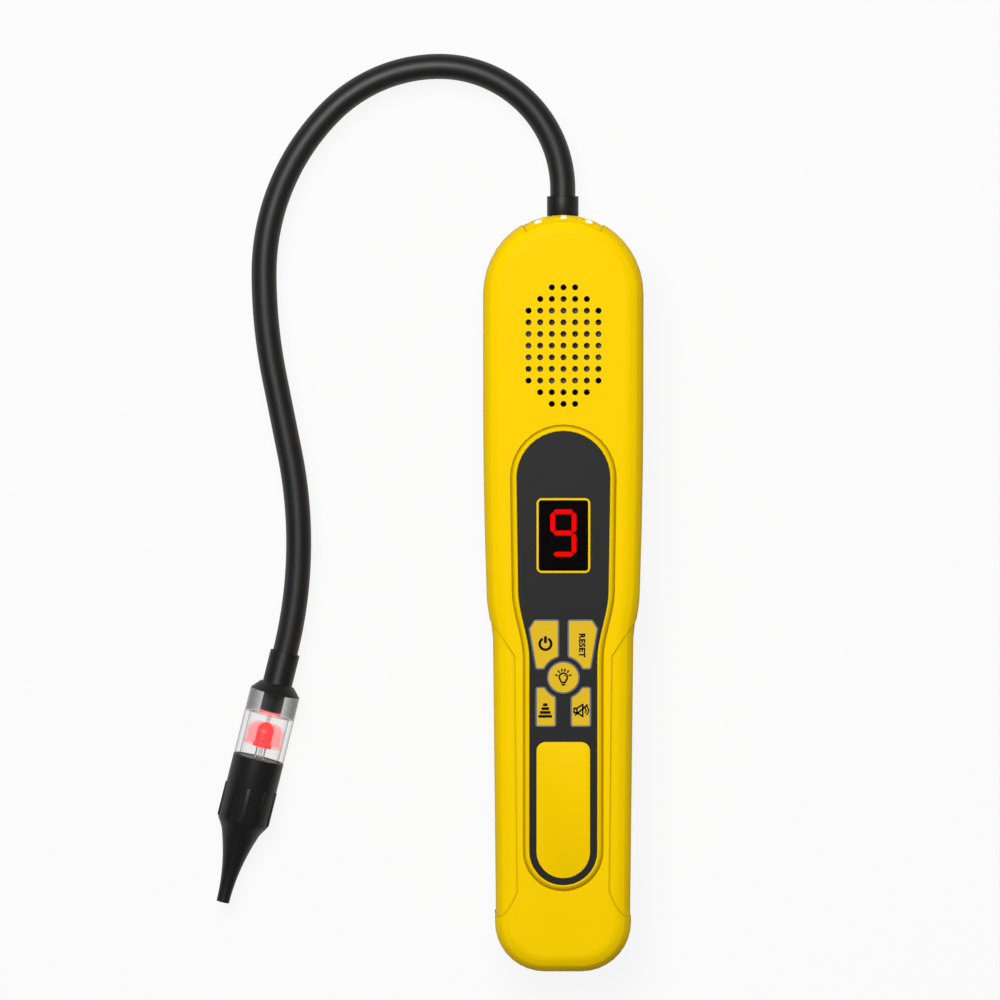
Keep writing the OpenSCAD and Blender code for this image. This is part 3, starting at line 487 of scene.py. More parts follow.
def crisp(mesh, angle=30):
    """Smooth faces with sharp edges where the surface turns by more than an angle."""
    bm = bmesh.new()
    bm.from_mesh(mesh)
    limit = math.radians(angle)
    for face in bm.faces:
        face.smooth = True
    for edge in bm.edges:
        edge.smooth = len(edge.link_faces) == 2 and edge.calc_face_angle(0.0) < limit
    bm.to_mesh(mesh)
    bm.free()
    return mesh


def refill(bm, z):
    """Fills the flat face at a height anew, because long thin triangles fold over there."""
    near = 0.000001
    per_metre = 1000
    whole_hull = 0
    same_spot = 0.00001
    flat = [f for f in bm.faces if all(abs(v.co.z - z) < near for v in f.verts)]
    bmesh.ops.delete(bm, geom=flat, context="FACES")
    rim = [e for e in bm.edges if len(e.link_faces) == 1 and all(abs(v.co.z - z) < near for v in e.verts)]
    corners = list({v: None for e in rim for v in e.verts})
    number = {v: i for i, v in enumerate(corners)}
    flat_spots = [v.co.xy * per_metre for v in corners]
    border = [(number[e.verts[0]], number[e.verts[1]]) for e in rim]
    spots, _, triangles, origins, _, _ = delaunay_2d_cdt(flat_spots, border, [], whole_hull, same_spot)
    lines = [(flat_spots[a], flat_spots[b]) for a, b in border]

    def inside(p):
        crossed = 0
        for a, b in lines:
            if (a.y > p.y) != (b.y > p.y):
                crossed += p.x < a.x + (b.x - a.x) * (p.y - a.y) / (b.y - a.y)
        return crossed % 2 == 1

    ends = []
    for spot, came_from in zip(spots, origins):
        known = corners[came_from[0]] if came_from else None
        ends.append(known or bm.verts.new((spot.x / per_metre, spot.y / per_metre, z)))
    for triangle in triangles:
        a, b, c = [spots[i] for i in triangle]
        if inside((a + b + c) / 3):
            bm.faces.new([ends[i] for i in triangle])


def solid_copy(node, flat_top=None):
    """A copy of a CAD node's mesh with its loose triangles joined."""
    same_spot = 0.000002
    mesh = NODES[node].data.copy()
    mesh.name = node + "_fine"
    bm = bmesh.new()
    bm.from_mesh(mesh)
    bmesh.ops.remove_doubles(bm, verts=bm.verts, dist=same_spot)
    if flat_top is not None:
        refill(bm, flat_top)
    bm.to_mesh(mesh)
    bm.free()
    for layer in list(mesh.attributes):
        if layer.name == "custom_normal":
            mesh.attributes.remove(layer)
    return mesh


def plain_mesh(data, add=None):
    """The mesh that some data gives as an object, after the modifiers that a function adds."""
    obj = bpy.data.objects.new("work", data)
    bpy.context.scene.collection.objects.link(obj)
    if add:
        add(obj)
    bpy.context.view_layer.update()
    mesh = bpy.data.meshes.new_from_object(obj.evaluated_get(bpy.context.evaluated_depsgraph_get()))
    bpy.data.objects.remove(obj)
    return mesh


def weighted(mesh):
    """Normals that follow the large faces."""

    def add(obj):
        modifier = obj.modifiers.new("weighted", "WEIGHTED_NORMAL")
        modifier.keep_sharp = True
        modifier.weight = 60

    return plain_mesh(mesh, add)


def softened(mesh, width, segments=2):
    """Rounds the crisp edges of a mesh."""

    def add(obj):
        flat = obj.modifiers.new("flat", "DECIMATE")
        flat.decimate_type = "DISSOLVE"
        flat.angle_limit = math.radians(1.0)
        bevel = obj.modifiers.new("edge", "BEVEL")
        bevel.width = width
        bevel.segments = segments
        bevel.limit_method = "ANGLE"
        bevel.angle_limit = math.radians(35)
        bevel.use_clamp_overlap = True

    return plain_mesh(mesh, add)


def arc_points(cx, cy, r, start, sweep, steps, heading=0.0):
    """Points along an arc. Its start and sweep are in degrees, from a heading in radians."""
    angles = [heading + math.radians(start + sweep * k / steps) for k in range(steps + 1)]
    return [(cx + r * math.cos(a), cy + r * math.sin(a)) for a in angles]


def rounded_profile(points, radius):
    """Cuts each corner of a profile with a short arc, and leaves a nearly straight one as it is."""
    straight = math.radians(160)
    share = 0.4
    result = []
    for k, point in enumerate(points):
        before = Vector(points[k - 1]) - Vector(point)
        after = Vector(points[(k + 1) % len(points)]) - Vector(point)
        if before.angle(after) > straight:
            result.append(point)
            continue
        reach = min(radius, before.length * share, after.length * share)
        start = Vector(point) + before.normalized() * reach
        end = Vector(point) + after.normalized() * reach
        for t in (0.0, 0.33, 0.67, 1.0):
            spot = start * (1 - t) ** 2 + Vector(point) * 2 * t * (1 - t) + end * t * t
            result.append((spot.x, spot.y))
    return result


def turned(name, profile, facets, place=HEAD_FRAME):
    """A turned solid from a closed profile of radius and station, in millimetres."""
    bm = bmesh.new()
    angles = [2 * math.pi * k / facets for k in range(facets)]
    rings = []
    for radius, station in profile:
        if radius < 1e-6:
            rings.append([bm.verts.new((0, 0, station))])
        else:
            spots = [(radius * math.cos(a), radius * math.sin(a), station) for a in angles]
            rings.append([bm.verts.new(spot) for spot in spots])
    for one, two in zip(rings, rings[1:] + rings[:1]):
        if len(one) == 1 and len(two) == 1:
            continue
        for k in range(facets):
            n = (k + 1) % facets
            if len(one) == 1:
                bm.faces.new((one[0], two[n], two[k]))
            elif len(two) == 1:
                bm.faces.new((one[k], one[n], two[0]))
            else:
                bm.faces.new((one[k], one[n], two[n], two[k]))
    bmesh.ops.recalc_face_normals(bm, faces=bm.faces)
    mesh = bpy.data.meshes.new(name)
    bm.to_mesh(mesh)
    bm.free()
    mesh.transform(place)
    return crisp(mesh)


class Graph:
    """A Geometry Nodes tree under construction."""

    def __init__(self, name):
        self.tree = bpy.data.node_groups.new(name, "GeometryNodeTree")
        self.tree.interface.new_socket("Geometry", in_out="INPUT", socket_type="NodeSocketGeometry")
        self.tree.interface.new_socket("Geometry", in_out="OUTPUT", socket_type="NodeSocketGeometry")
        self.source = self.tree.nodes.new("NodeGroupInput")
        self.names = {}

    def value(self, name, kind):
        """A named input of the tree."""
        socket = self.tree.interface.new_socket(name, in_out="INPUT", socket_type="NodeSocket" + kind)
        self.names[name] = socket.identifier
        return self.source.outputs[name]

    def add(self, kind, settings=None, **inputs):
        node = self.tree.nodes.new(kind)
        for key, value in (settings or {}).items():
            setattr(node, key, value)
        for key, value in inputs.items():
            socket = node.inputs[key.replace("_", " ")]
            if isinstance(value, bpy.types.NodeSocket):
                self.tree.links.new(value, socket)
            else:
                socket.default_value = value
        return node

    def close(self, geometry, material):
        """Ends in plain geometry with its finish."""
        real = self.add("GeometryNodeRealizeInstances", Geometry=geometry)
        painted = self.add("GeometryNodeSetMaterial", Geometry=real.outputs[0], Material=material)
        end = self.tree.nodes.new("NodeGroupOutput")
        self.tree.links.new(painted.outputs[0], end.inputs[0])
        return self

    def run(self, mesh, **values):
        """Evaluates the tree on a mesh and returns a plain mesh."""

        def add(obj):
            modifier = obj.modifiers.new("nodes", "NODES")
            modifier.node_group = self.tree
            for name, value in values.items():
                modifier[self.names[name]] = value

        return plain_mesh(mesh, add)


def neck_graph():
    """A tube along the edges of a mesh."""
    g = Graph("neck tube")
    diameter = g.value("Diameter", "Float")
    facets = g.value("Facets", "Int")
    finish = g.value("Finish", "Material")
    radius = g.add("ShaderNodeMath", {"operation": "MULTIPLY"})
    g.tree.links.new(diameter, radius.inputs[0])
    radius.inputs[1].default_value = 0.5
    course = g.add("GeometryNodeMeshToCurve", Mesh=g.source.outputs["Geometry"])
    ring = g.add("GeometryNodeCurvePrimitiveCircle", Resolution=facets, Radius=radius.outputs[0])
    tube = g.add("GeometryNodeCurveToMesh", Curve=course.outputs[0], Profile_Curve=ring.outputs[0],
                 Fill_Caps=True)
    smooth = g.add("GeometryNodeSetShadeSmooth", Geometry=tube.outputs[0])
    return g.close(smooth.outputs[0], finish)


def rib_graph():
    """Upright bars on a circle."""
    g = Graph("grip ribs")
    count = g.value("Count", "Int")
    radius = g.value("Radius", "Float")
    size = g.value("Bar", "Vector")
    finish = g.value("Finish", "Material")
    circle = g.add("GeometryNodeMeshCircle", Vertices=count, Radius=radius)
    bar = g.add("GeometryNodeMeshCube", Size=size)
    spot = g.add("GeometryNodeInputPosition")
    turn = g.add("FunctionNodeAlignRotationToVector", {"axis": "X"}, Vector=spot.outputs[0])
    bars = g.add("GeometryNodeInstanceOnPoints", Points=circle.outputs[0], Instance=bar.outputs[0],
                 Rotation=turn.outputs[0])
    return g.close(bars.outputs[0], finish)


# Depth in millimetres that printed marks go into the face under them
SINK = 0.02


class Ink:
    """Flat printed marks, gathered in one mesh as thin prisms. Places are in millimetres."""

    def __init__(self, base, lift):
        self.bm = bmesh.new()
        self.low = base / MM - SINK
        self.high = (base + lift) / MM

    def patch(self, outline):
        """A filled outline, given anticlockwise."""
        low = [self.bm.verts.new((x, y, self.low)) for x, y in outline]
        high = [self.bm.verts.new((x, y, self.high)) for x, y in outline]
        self.bm.faces.new(high)
        self.bm.faces.new(list(reversed(low)))
        for k in range(len(outline)):
            n = (k + 1) % len(outline)
            self.bm.faces.new((low[k], low[n], high[n], high[k]))

    def bar(self, x, y, w, h, r=0.2):
        """A rounded bar."""
        outline = []
        for right, up, start in ((1, -1, -90), (1, 1, 0), (-1, 1, 90), (-1, -1, 180)):
            outline += arc_points(x + right * (w / 2 - r), y + up * (h / 2 - r), r, start, 90, 4)
        self.patch(outline)

    def bar_with_points(self, x, y, length, width, upright=False):
        """A bar with pointed ends, along X or along Y."""
        a, b = length / 2, width / 2
        outline = [(-a, 0), (b - a, -b), (a - b, -b), (a, 0), (a - b, b), (b - a, b)]
        self.patch([(x - v, y + u) if upright else (x + u, y + v) for u, v in outline])

    def stroke(self, points, width):
        """A line with round ends and joints."""
        for (ax, ay), (bx, by) in zip(points, points[1:]):
            heading = math.atan2(by - ay, bx - ax)
            far_end = arc_points(bx, by, width / 2, -90, 180, 6, heading)
            self.patch(far_end + arc_points(ax, ay, width / 2, 90, 180, 6, heading))

    def arc(self, x, y, radius, start, end, width, steps=40):
        """A bent bar."""
        outer = arc_points(x, y, radius + width / 2, start, end - start, steps)
        inner = arc_points(x, y, radius - width / 2, start, end - start, steps)
        for k in range(steps):
            self.patch([inner[k], outer[k], outer[k + 1], inner[k + 1]])

    def mesh(self, name):
        mesh = bpy.data.meshes.new(name)
        self.bm.to_mesh(mesh)
        self.bm.free()
        mesh.transform(Matrix.Scale(MM, 4))
        return mesh


def word_mesh(name, word, height, place, turn, lift):
    """A printed word as a plain mesh in place."""
    curve = bpy.data.curves.new(name, "FONT")
    curve.body = word
    curve.size = height * 1.4
    curve.align_x = "CENTER"
    curve.align_y = "CENTER"
    curve.offset = height * 0.07
    curve.extrude = lift
    curve.space_character = 1.12
    mesh = plain_mesh(curve)
    mesh.transform(Matrix.Translation(place) @ Matrix.Rotation(turn, 4, "Z"))
    return mesh


class DETECTOR_OT_case(bpy.types.Operator):
    """Builds the moulded case with its rim, plate and battery door"""

    bl_idname = "detector.case"
    bl_label = "Case"

    def execute(self, context):
        for node, finish, body in (
                ("front_shell", "yellow", "case"), ("rear_shell", "charcoal", "case"),
                ("panel_rim", "yellow", "case"), ("battery_door", "charcoal", "battery_door")):
            flat_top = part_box("control_panel")[1].z if node == "front_shell" else None
            mesh = solid_copy(node, flat_top)
            if node == "panel_rim":
                self.bead(mesh)
            mesh = weighted(crisp(mesh, 50 if node == "panel_rim" else 30))
            piece(node + "_skin", mesh, body, finish, node, finish=finish)
            if node == "front_shell":
                # The yellow ring under the grille gets painted shade.
                self.shade_speaker_seat(mesh)
        mesh = crisp(softened(solid_copy("label_plate"), context.scene.detector_sizes.edge_round))
        piece("label_plate_skin", mesh, "case", "yellow", "label_plate", finish="label")
        return {"FINISHED"}

    def shade_speaker_seat(self, mesh):
        """Paints the ring that holds the speaker charcoal: painted shade on yellow faces that show through the
        holes.
        """
        above, around = 0.05 * MM, 2.5 * MM
        mesh.materials.append(FINISHES["charcoal"])
        centre = middle("speaker")
        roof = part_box("speaker")[1].z + above
        reach = span("speaker").x / 2 + around
        for face in mesh.polygons:
            if face.center.z < roof and (face.center - centre).xy.length < reach:
                face.material_index = 1

    def bead(self, mesh):
        """Drops the rim's outer edge into its slot, which leaves a fine groove round it."""
        shoulder, near = 0.3, 0.01
        sunk_edge, sunk_shoulder = 0.75 * MM, 0.12 * MM
        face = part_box("control_panel")[1].z
        for vertex in mesh.vertices:
            rise = (vertex.co.z - face) / MM
            if abs(rise) < near:
                vertex.co.z = face - sunk_edge
            elif abs(rise - shoulder) < near:
                vertex.co.z = face - sunk_shoulder


class DETECTOR_OT_panel(bpy.types.Operator):
    """Builds the control panel and the display"""

    bl_idname = "detector.panel"
    bl_label = "Panel and display"

    def execute(self, context):
        for node, finish, slot in (
                ("control_panel", "panel", "panel_black"), ("display_bezel", "label", "yellow"),
                ("display_window", "window", "window")):
            mesh = solid_copy(node)
            if node != "control_panel":
                self.slim(mesh)
            piece(node + "_skin", crisp(mesh), "case", slot, node, finish=finish)
        self.digit()
        return {"FINISHED"}

    def slim(self, mesh):
        """Widens the window and the bezel's inner edge, which leaves a finer line round the window."""
        centre = middle("display_bezel")
        inner = span("display_window") / 2
        gap = 0.2 * MM
        reach = inner + Vector((gap, gap, 0)) / 4
        for vertex in mesh.vertices:
            offset = vertex.co - centre
            if abs(offset.x) < reach.x and abs(offset.y) < reach.y:
                vertex.co.x = centre.x + offset.x * (1 + gap / inner.x)
                vertex.co.y = centre.y + offset.y * (1 + gap / inner.y)

    def digit(self):
        """The lit and unlit bars of a nine, moved up from the CAD bars."""
        low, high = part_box("digit_segments")
        x, y = middle("digit_segments").xy / MM
        raised, bar, gap, w, h = 0.7, 1.45, 0.3, 7.8, 14.1
        y += raised
        across, up = (w - bar) / 2, (h - bar) / 2
        base, lift = low.z + SINK * MM, high.z - low.z - SINK * MM
        lit_bars = Ink(base, lift)
        dark_bar = Ink(base, lift)
        for rise in (1, 0, -1):
            lit_bars.bar_with_points(x, y + rise * up, w - bar - gap, bar)
        for side, rise, ink in ((-1, 1, lit_bars), (1, 1, lit_bars), (1, -1, lit_bars), (-1, -1, dark_bar)):
            ink.bar_with_points(x + side * across, y + rise * up / 2, up - gap, bar, upright=True)
        mesh = crisp(lit_bars.mesh("digit_bars"))
        piece("digit_bars", mesh, "case", "digit", "digit_segments", finish="digit")
        piece("digit_dark_bar", crisp(dark_bar.mesh("digit_dark_bar")), "case", "digit", finish="unlit")


class DETECTOR_OT_keys(bpy.types.Operator):
    """Builds the five keys and their printed symbols"""

    bl_idname = "detector.keys"
    bl_label = "Keys"

    def execute(self, context):
        near = 0.01 * MM
        for node in ("power_key", "reset_key", "lamp_key", "sensitivity_key", "mute_key"):
            mesh = crisp(solid_copy(node), 25)
            piece(node + "_cap", mesh, node, "amber", node, finish="key")
            mesh.materials.append(FINISHES["key_edge"])
            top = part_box(node)[1].z
            for face in mesh.polygons:
                face.material_index = 0 if face.center.z > top - near else 1
        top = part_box("lamp_key")[1].z
        for draw in (self.power, self.reset, self.lamp, self.bars, self.mute):
            draw(top, context.scene.detector_sizes.ink_lift)
        return {"FINISHED"}

    def mark(self, name, ink, key):
        piece(name, crisp(ink.mesh(name)), key, "panel_black", finish="ink")

    def spot(self, dx, dy):
        """A place measured from the middle of the lamp key, in millimetres."""
        centre = middle("lamp_key") / MM
        return centre.x + dx, centre.y + dy

    def power(self, top, lift):
        x, y = self.spot(-5.35, 10.05)
        ink = Ink(top, lift)
        ink.arc(x, y, 1.72, 118, 422, 0.8)
        ink.bar(x, y + 1.25, 0.9, 2.1)
        self.mark("power_mark", ink, "power_key")

    def reset(self, top, lift):
        x, y = self.spot(5.5, 9.65)
        place = Vector((x * MM, y * MM, top))
        mesh = word_mesh("reset_word", "RESET", 1.75 * MM, place, math.radians(-90), lift)
        piece("reset_mark", mesh, "reset_key", "panel_black", finish="ink")

    def lamp(self, top, lift):
        x, y = self.spot(0.0, -0.1)
        ink = Ink(top, lift)
        line = 0.52
        ink.arc(x, y + 0.2, 1.2, -35, 215, line)
        ink.stroke([(x - 0.98, y - 0.49), (x - 0.5, y - 1.4), (x + 0.5, y - 1.4), (x + 0.98, y - 0.49)], line)
        ink.bar(x, y - 2.05, 1.1, 0.55)
        ink.arc(x, y + 0.2, 0.6, 15, 75, 0.24, 10)
        for angle in (15, 50, 78, 102, 130, 165):
            a = math.radians(angle)
            ink.stroke([(x + r * math.cos(a), y + 0.25 + r * math.sin(a)) for r in (1.85, 2.35)], 0.48)
        self.mark("lamp_mark", ink, "lamp_key")

    def bars(self, top, lift):
        x, y = self.spot(-5.4, -9.9)
        ink = Ink(top, lift)
        for k, width in enumerate((1.35, 2.3, 3.2, 4.1)):
            ink.bar(x, y + 1.75 - 1.15 * k, width, 0.86)
        self.mark("sensitivity_mark", ink, "sensitivity_key")

    def mute(self, top, lift):
        x, y = self.spot(5.3, -9.85)
        ink = Ink(top, lift)
        box = ((-1.25, -0.65), (-2.1, -0.65), (-2.1, 0.65), (-1.25, 0.65))
        throat = ((-1.25, 0.65), (-1.25, -0.65))
        horn = ((-1.25, 0.65), (0.5, 1.8), (0.5, -1.8), (-1.25, -0.65))
        slash = ((-1.7, -1.35), (1.85, 1.65))
        for points in (box, throat, horn, slash):
            ink.stroke([(x + dx, y + dy) for dx, dy in points], 0.5)
        for radius in (0.95, 1.7):
            ink.arc(x + 0.5, y, radius, -50, 50, 0.42, 16)
        self.mark("mute_mark", ink, "mute_key")


class DETECTOR_OT_neck(bpy.types.Operator):
    """Builds the gooseneck and its ferrule"""

    bl_idname = "detector.neck"
    bl_label = "Neck"

    def execute(self, context):
        sizes = context.scene.detector_sizes
        course = bpy.data.meshes.new("neck course")
        course.from_pydata(NECK_POINTS, [(k, k + 1) for k in range(len(NECK_POINTS) - 1)], [])
        tube = neck_graph().run(course, Diameter=span("gooseneck").z, Facets=sizes.neck_facets,
                                Finish=FINISHES["neck"])
        crisp(tube, 40)
        neck = piece("neck_sleeve", tube, None, "neck", "gooseneck")
        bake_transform(neck, "case", "probe_head", start=(-5 * MM, 0.12, NECK_Z), end=(-75 * MM, 0.12, NECK_Z))
        mesh = crisp(softened(solid_copy("neck_ferrule"), sizes.edge_round * 2))
        piece("ferrule_skin", mesh, "case", "black", "neck_ferrule", finish="fitting")
        return {"FINISHED"}


class DETECTOR_OT_head(bpy.types.Operator):
    """Builds the sensing head: collar, clear tube, red lamp and nozzle"""

    bl_idname = "detector.head"
    bl_label = "Sensing head"

    def execute(self, context):
        sizes = context.scene.detector_sizes
        facets = sizes.lathe_facets
        collar = [(3.9, 0), (4.5, 0), (4.5, 9.8), (5.1, 9.8), (7.65, 12.6), (3.2, 12.6), (3.2, 18.5),
                  (1.4, 18.5), (1.4, 8.0), (3.9, 8.0)]
        mesh = turned("collar_skin", rounded_profile(collar, 0.2), facets)
        piece("collar_skin", mesh, "probe_head", "black", "head_collar", finish="fitting")
        tube = [(3.3, 12.7), (7.65, 12.7), (7.65, 32.85), (6.75, 32.85), (6.75, 42.5), (6.1, 42.5),
                (6.1, 19.5), (3.3, 19.5)]
        mesh = turned("tube_skin", rounded_profile(tube, 0.25), facets)
        piece("tube_skin", mesh, "probe_head", "clear", "sight_tube", finish="clear")
        self.lamp(facets)
        self.lens(facets)
        self.nozzle(sizes, facets)
        mesh = crisp(solid_copy("sensor_lead"))
        piece("lead_sleeve", mesh, "probe_head", "sleeve", "sensor_lead", finish="lead")
        return {"FINISHED"}

    def lamp(self, facets):
        """A domed lamp with a flange and two legs."""
        top, foot, r, flange = 21.9, 29.5, 2.5, 2.9
        profile = arc_points(0, top + r, r, -90, 90, 10)
        profile += [(r, foot - 1), (flange, foot - 1), (flange, foot), (0, foot)]
        mesh = turned("lamp_dome", profile, facets)
        piece("lamp_dome", mesh, "probe_head", "red_lamp", "alarm_led", finish="lamp")
        leg_out, leg_r, leg_length, leg_middle = 1.27, 0.25, 3.6, 1.7
        legs = bmesh.new()
        for side in (-leg_out, leg_out):
            place = Matrix.Translation((side, 0, foot + leg_middle))
            bmesh.ops.create_cone(legs, cap_ends=True, segments=16, radius1=leg_r, radius2=leg_r,
                                  depth=leg_length, matrix=place)
        mesh = bpy.data.meshes.new("lamp_legs")
        legs.to_mesh(mesh)
        legs.free()
        mesh.transform(HEAD_FRAME)
        piece("lamp_legs", crisp(mesh), "probe_head", "steel", finish="steel")

    def lens(self, facets):
        """A thin bell over the lamp, with a foot."""
        top, foot, r, wall, bend = 22.0, 29.1, 5.65, 0.6, 2.9
        toe = r + 0.3
        profile = arc_points(r - bend, top + bend, bend, -90, 90, 10)
        profile += [(r, foot - 1), (toe, foot - 1), (toe, foot), (r - wall, foot)]
        profile += arc_points(r - bend, top + bend, bend - wall, 0, -90, 10)
        mesh = turned("lens_bell", profile, facets)
        piece("lens_bell", mesh, "probe_head", "red_lens", "alarm_lens", finish="lens")

    def nozzle(self, sizes, facets):
        """A ribbed cup that narrows to a tip."""
        s, length, cup = 33.0, 45.0, 7.75
        taper, waist, tip = 22.9, 5.9, 1.95
        outer = [(6.9, s), (cup - 0.12, s), (cup, s + 0.12), (cup, s + 19.6)]
        outer += [(cup - 0.18, s + 20.1), (cup - 0.5, s + 20.7), (cup - 1.1, s + 21.6)]
        for k in range(17):
            t = k / 16
            outer.append((tip + (waist - tip) * (1 - t) ** 2, s + taper + (length - taper) * t))
        inner = [(1.0, s + length), (1.0, s + 24), (4.3, s + 18.1), (5.2, s + 18.1), (5.2, s + 14.6),
                 (6.9, s + 13.8)]
        body = turned("nozzle_skin", outer + inner, facets)
        rib, rib_foot, rib_round, first_rib = (0.7, 1.4, 10.5), 9, 0.22, math.radians(-87.5)
        seed = bpy.data.meshes.new("rib seed")
        ribs = rib_graph().run(
            seed, Count=sizes.rib_count, Radius=cup - 0.05, Bar=rib, Finish=FINISHES["fitting"])
        place = Matrix.Translation((0, 0, s + rib_foot + rib[2] / 2))
        ribs.transform(place @ Matrix.Rotation(first_rib, 4, "Z"))
        ribs = softened(ribs, rib_round, 3)
        ribs.transform(HEAD_FRAME)
        piece("nozzle_skin", body, "nozzle", "black", "nozzle", finish="fitting")
        piece("nozzle_ribs", crisp(ribs, 40), "nozzle", "black", finish="fitting")


class DETECTOR_OT_inside(bpy.types.Operator):
    """Gives the pieces inside the case and head their finishes"""

    bl_idname = "detector.inside"
    bl_label = "Inside"

    def execute(self, context):
        for node, finish in (
                ("display_module", "panel"), ("tact_switches", "panel"), ("main_board", "board"),
                ("lamp_board", "board"), ("board_screws", "steel"), ("neck_nut", "steel"),
                ("sensor_base", "fitting"), ("gas_sensor", "steel"), ("nozzle_filter", "felt"),
                ("battery_cells", "cell"), ("battery_contacts", "brass"), ("case_screws", "steel")):
            for slot in NODES[node].material_slots:
                slot.material = FINISHES[finish]
        mesh = crisp(solid_copy("lamp_leds"), 40)
        piece("lamp_domes", mesh, "case", "lamp", "lamp_leds", finish="white_lamp")
        self.speaker(context.scene.detector_sizes.lathe_facets)
        return {"FINISHED"}

    def speaker(self, facets):
        """The speaker with its grey cone inside a black gasket."""
        r = span("speaker").x / 2 / MM
        t = span("speaker").z / MM
        gasket, rim, cap, dish, magnet, basket = 0.9, 1.6, 4.0, 1.6, 7.0, 1.8
        profile = [(0, 0), (magnet, 0), (magnet, t - 3), (r - rim, t - basket), (r, t - basket), (r, t),
                   (r - gasket, t), (r - rim, t), (r - 2 * rim, t - 0.6), (cap, t - dish),
                   (cap / 2, t - dish + 0.7), (0, t - dish + 0.9)]
        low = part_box("speaker")[0]
        centre = middle("speaker")
        place = Matrix.Translation((centre.x, centre.y, low.z)) @ Matrix.Scale(MM, 4)
        mesh = turned("speaker_body", profile, facets, place)
        piece("speaker_body", mesh, "case", "cone", "speaker", finish="cone")
        mesh.materials.append(FINISHES["charcoal"])
        for face in mesh.polygons:
            inward = (face.center - centre).xy.length < (r - gasket) * MM
            face.material_index = 0 if inward and face.normal.z > 0 else 1


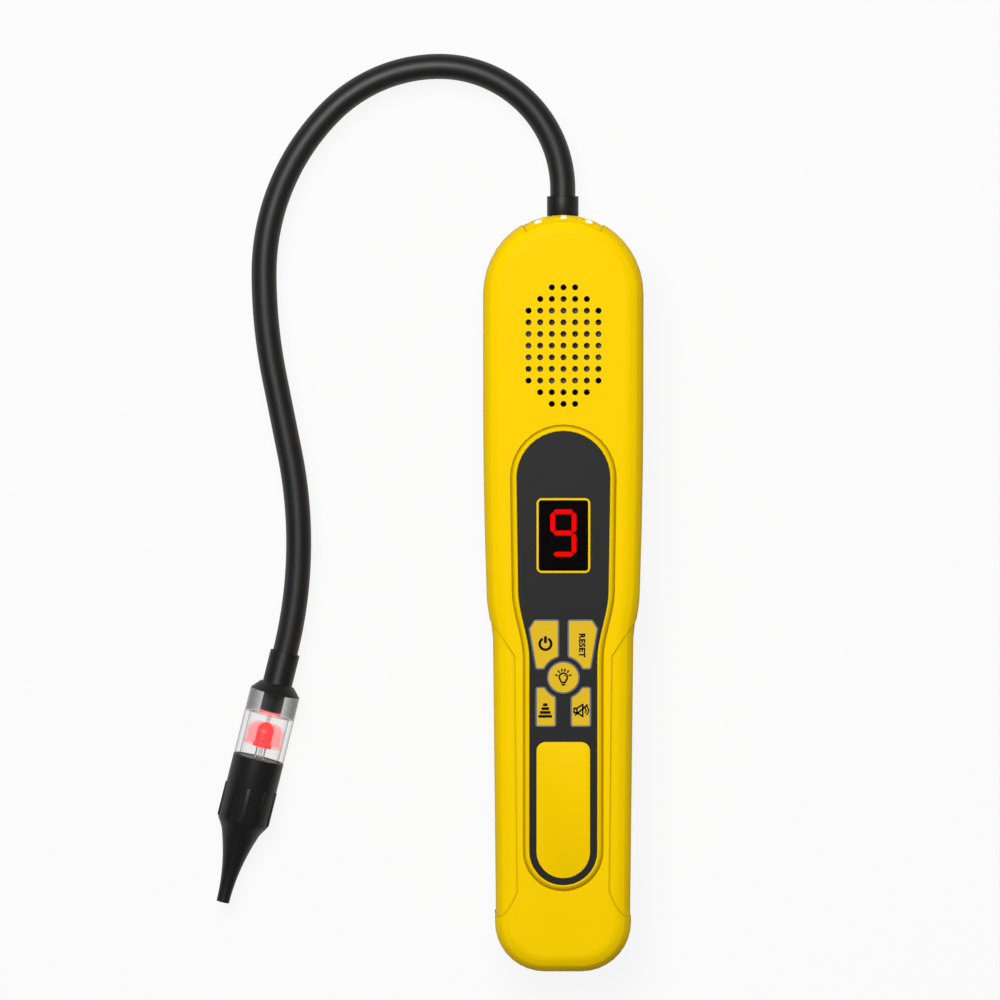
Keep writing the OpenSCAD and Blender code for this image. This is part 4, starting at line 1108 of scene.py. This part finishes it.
class DETECTOR_OT_stage(bpy.types.Operator):
    """Builds the floor, the light and the camera"""

    bl_idname = "detector.stage"
    bl_label = "Stage"

    def execute(self, context):
        stage = context.scene.detector_stage
        self.floor()
        self.world(context.scene, stage)
        self.lamp("key light", stage.key_power, 0.8, 0.8, Vector((-0.25, 0.55, 1.5)))
        self.lamp("rim light", stage.rim_power, 0.1, 0.6, Vector((0.6, 0.0, 0.05)))
        self.camera(context.scene, stage)
        context.scene.view_settings.view_transform = "Standard"
        return {"FINISHED"}

    def floor(self):
        """A pale floor just under the part, nearly white wherever it is seen."""
        half, z, whiteness = 3.0, -0.3 * MM, 0.9
        mesh = bpy.data.meshes.new("floor")
        corners = [(-half, -half, z), (half, -half, z), (half, half, z), (-half, half, z)]
        mesh.from_pydata(corners, [], [(0, 1, 2, 3)])
        obj = bpy.data.objects.new("floor", mesh)
        bpy.context.scene.collection.objects.link(obj)
        r = Recipe("pale floor")
        paths = r.add("ShaderNodeLightPath", {}, {})
        seen = r.wire(paths, "Is Camera Ray").maximum(r.wire(paths, "Is Glossy Ray"))
        seen = seen.maximum(r.wire(paths, "Is Transmission Ray"))
        grain = r.noise(8.0)
        tone = r.blend(grain, (0.64, 0.64, 0.64), (0.68, 0.68, 0.68))
        matt = r.plastic(base_color=tone, roughness=0.9, specular_ior_level=0.1)
        glow = r.wire(r.add("ShaderNodeEmission", {}, {"Color": (1, 1, 1), "Strength": 1.0}), "Emission")
        mix = r.add("ShaderNodeMixShader", {}, {0: seen * whiteness, 1: matt, 2: glow})
        mesh.materials.append(r.finish(r.wire(mix)))

    def world(self, scene, stage):
        """Even light, and plain white behind everything."""
        world = bpy.data.worlds.new("studio")
        world.use_nodes = True
        scene.world = world
        tree = world.node_tree
        tree.nodes.clear()
        end = tree.nodes.new("ShaderNodeOutputWorld")
        mix = tree.nodes.new("ShaderNodeMixShader")
        paths = tree.nodes.new("ShaderNodeLightPath")
        light = tree.nodes.new("ShaderNodeBackground")
        light.inputs["Strength"].default_value = stage.ambient
        white = tree.nodes.new("ShaderNodeBackground")
        for node in (light, white):
            node.inputs["Color"].default_value = (1, 1, 1, 1)
        tree.links.new(paths.outputs["Is Camera Ray"], mix.inputs[0])
        tree.links.new(light.outputs[0], mix.inputs[1])
        tree.links.new(white.outputs[0], mix.inputs[2])
        tree.links.new(mix.outputs[0], end.inputs[0])

    def lamp(self, name, power, width, height, place):
        """A rectangular light that points at the part."""
        target = Vector((0, 0, 0.02))
        light = bpy.data.lights.new(name, "AREA")
        light.shape = "RECTANGLE"
        light.size = width
        light.size_y = height
        light.energy = power
        obj = bpy.data.objects.new(name, light)
        obj.location = place
        obj.rotation_euler = (target - place).to_track_quat("-Z", "Y").to_euler()
        bpy.context.scene.collection.objects.link(obj)

    def camera(self, scene, stage):
        """A long lens over the part, leaning towards the nose."""
        sensor = 36.0
        data = bpy.data.cameras.new("camera")
        data.sensor_width = sensor
        data.lens = sensor * stage.distance / (PIXELS * stage.pixel)
        data.clip_end = 20.0
        obj = bpy.data.objects.new("camera", data)
        c, s = math.cos(stage.tilt), math.sin(stage.tilt)
        back = Vector((0, s, c))
        turn = Matrix(((1, 0, 0), (0, c, s), (0, -s, c)))
        obj.matrix_world = Matrix.Translation(Vector(stage.aim) + back * stage.distance) @ turn.to_4x4()
        scene.collection.objects.link(obj)
        scene.camera = obj


class DETECTOR_PT_panel(bpy.types.Panel):
    """Lists the sizes, the colours and the steps"""

    bl_idname = "DETECTOR_PT_panel"
    bl_label = "Leak detector"
    bl_space_type = "VIEW_3D"
    bl_region_type = "UI"
    bl_category = "Leak detector"

    def draw(self, context):
        for group in (getattr(context.scene, name) for name in GROUPS):
            box = self.layout.box()
            for name in group.__annotations__:
                box.prop(group, name)
        for step in STEPS:
            self.layout.operator(step.bl_idname)


STEPS = (DETECTOR_OT_case, DETECTOR_OT_panel, DETECTOR_OT_keys, DETECTOR_OT_neck, DETECTOR_OT_head,
         DETECTOR_OT_inside, DETECTOR_OT_stage)
GROUPS = {
    "detector_sizes": DetectorSizes, "detector_colours": DetectorColours, "detector_stage": DetectorStage}


def register():
    for name, group in GROUPS.items():
        bpy.utils.register_class(group)
        setattr(bpy.types.Scene, name, bpy.props.PointerProperty(type=group))
    for step in STEPS:
        bpy.utils.register_class(step)
    bpy.utils.register_class(DETECTOR_PT_panel)


def unregister():
    bpy.utils.unregister_class(DETECTOR_PT_panel)
    for step in reversed(STEPS):
        bpy.utils.unregister_class(step)
    for name, group in GROUPS.items():
        delattr(bpy.types.Scene, name)
        bpy.utils.unregister_class(group)


def main():
    register()
    make_finishes(bpy.context.scene.detector_colours)
    bpy.ops.detector.stage()
    bpy.ops.detector.neck()
    bpy.ops.detector.case()
    bpy.ops.detector.panel()
    bpy.ops.detector.keys()
    bpy.ops.detector.head()
    bpy.ops.detector.inside()


if __name__ == "__main__":
    main()
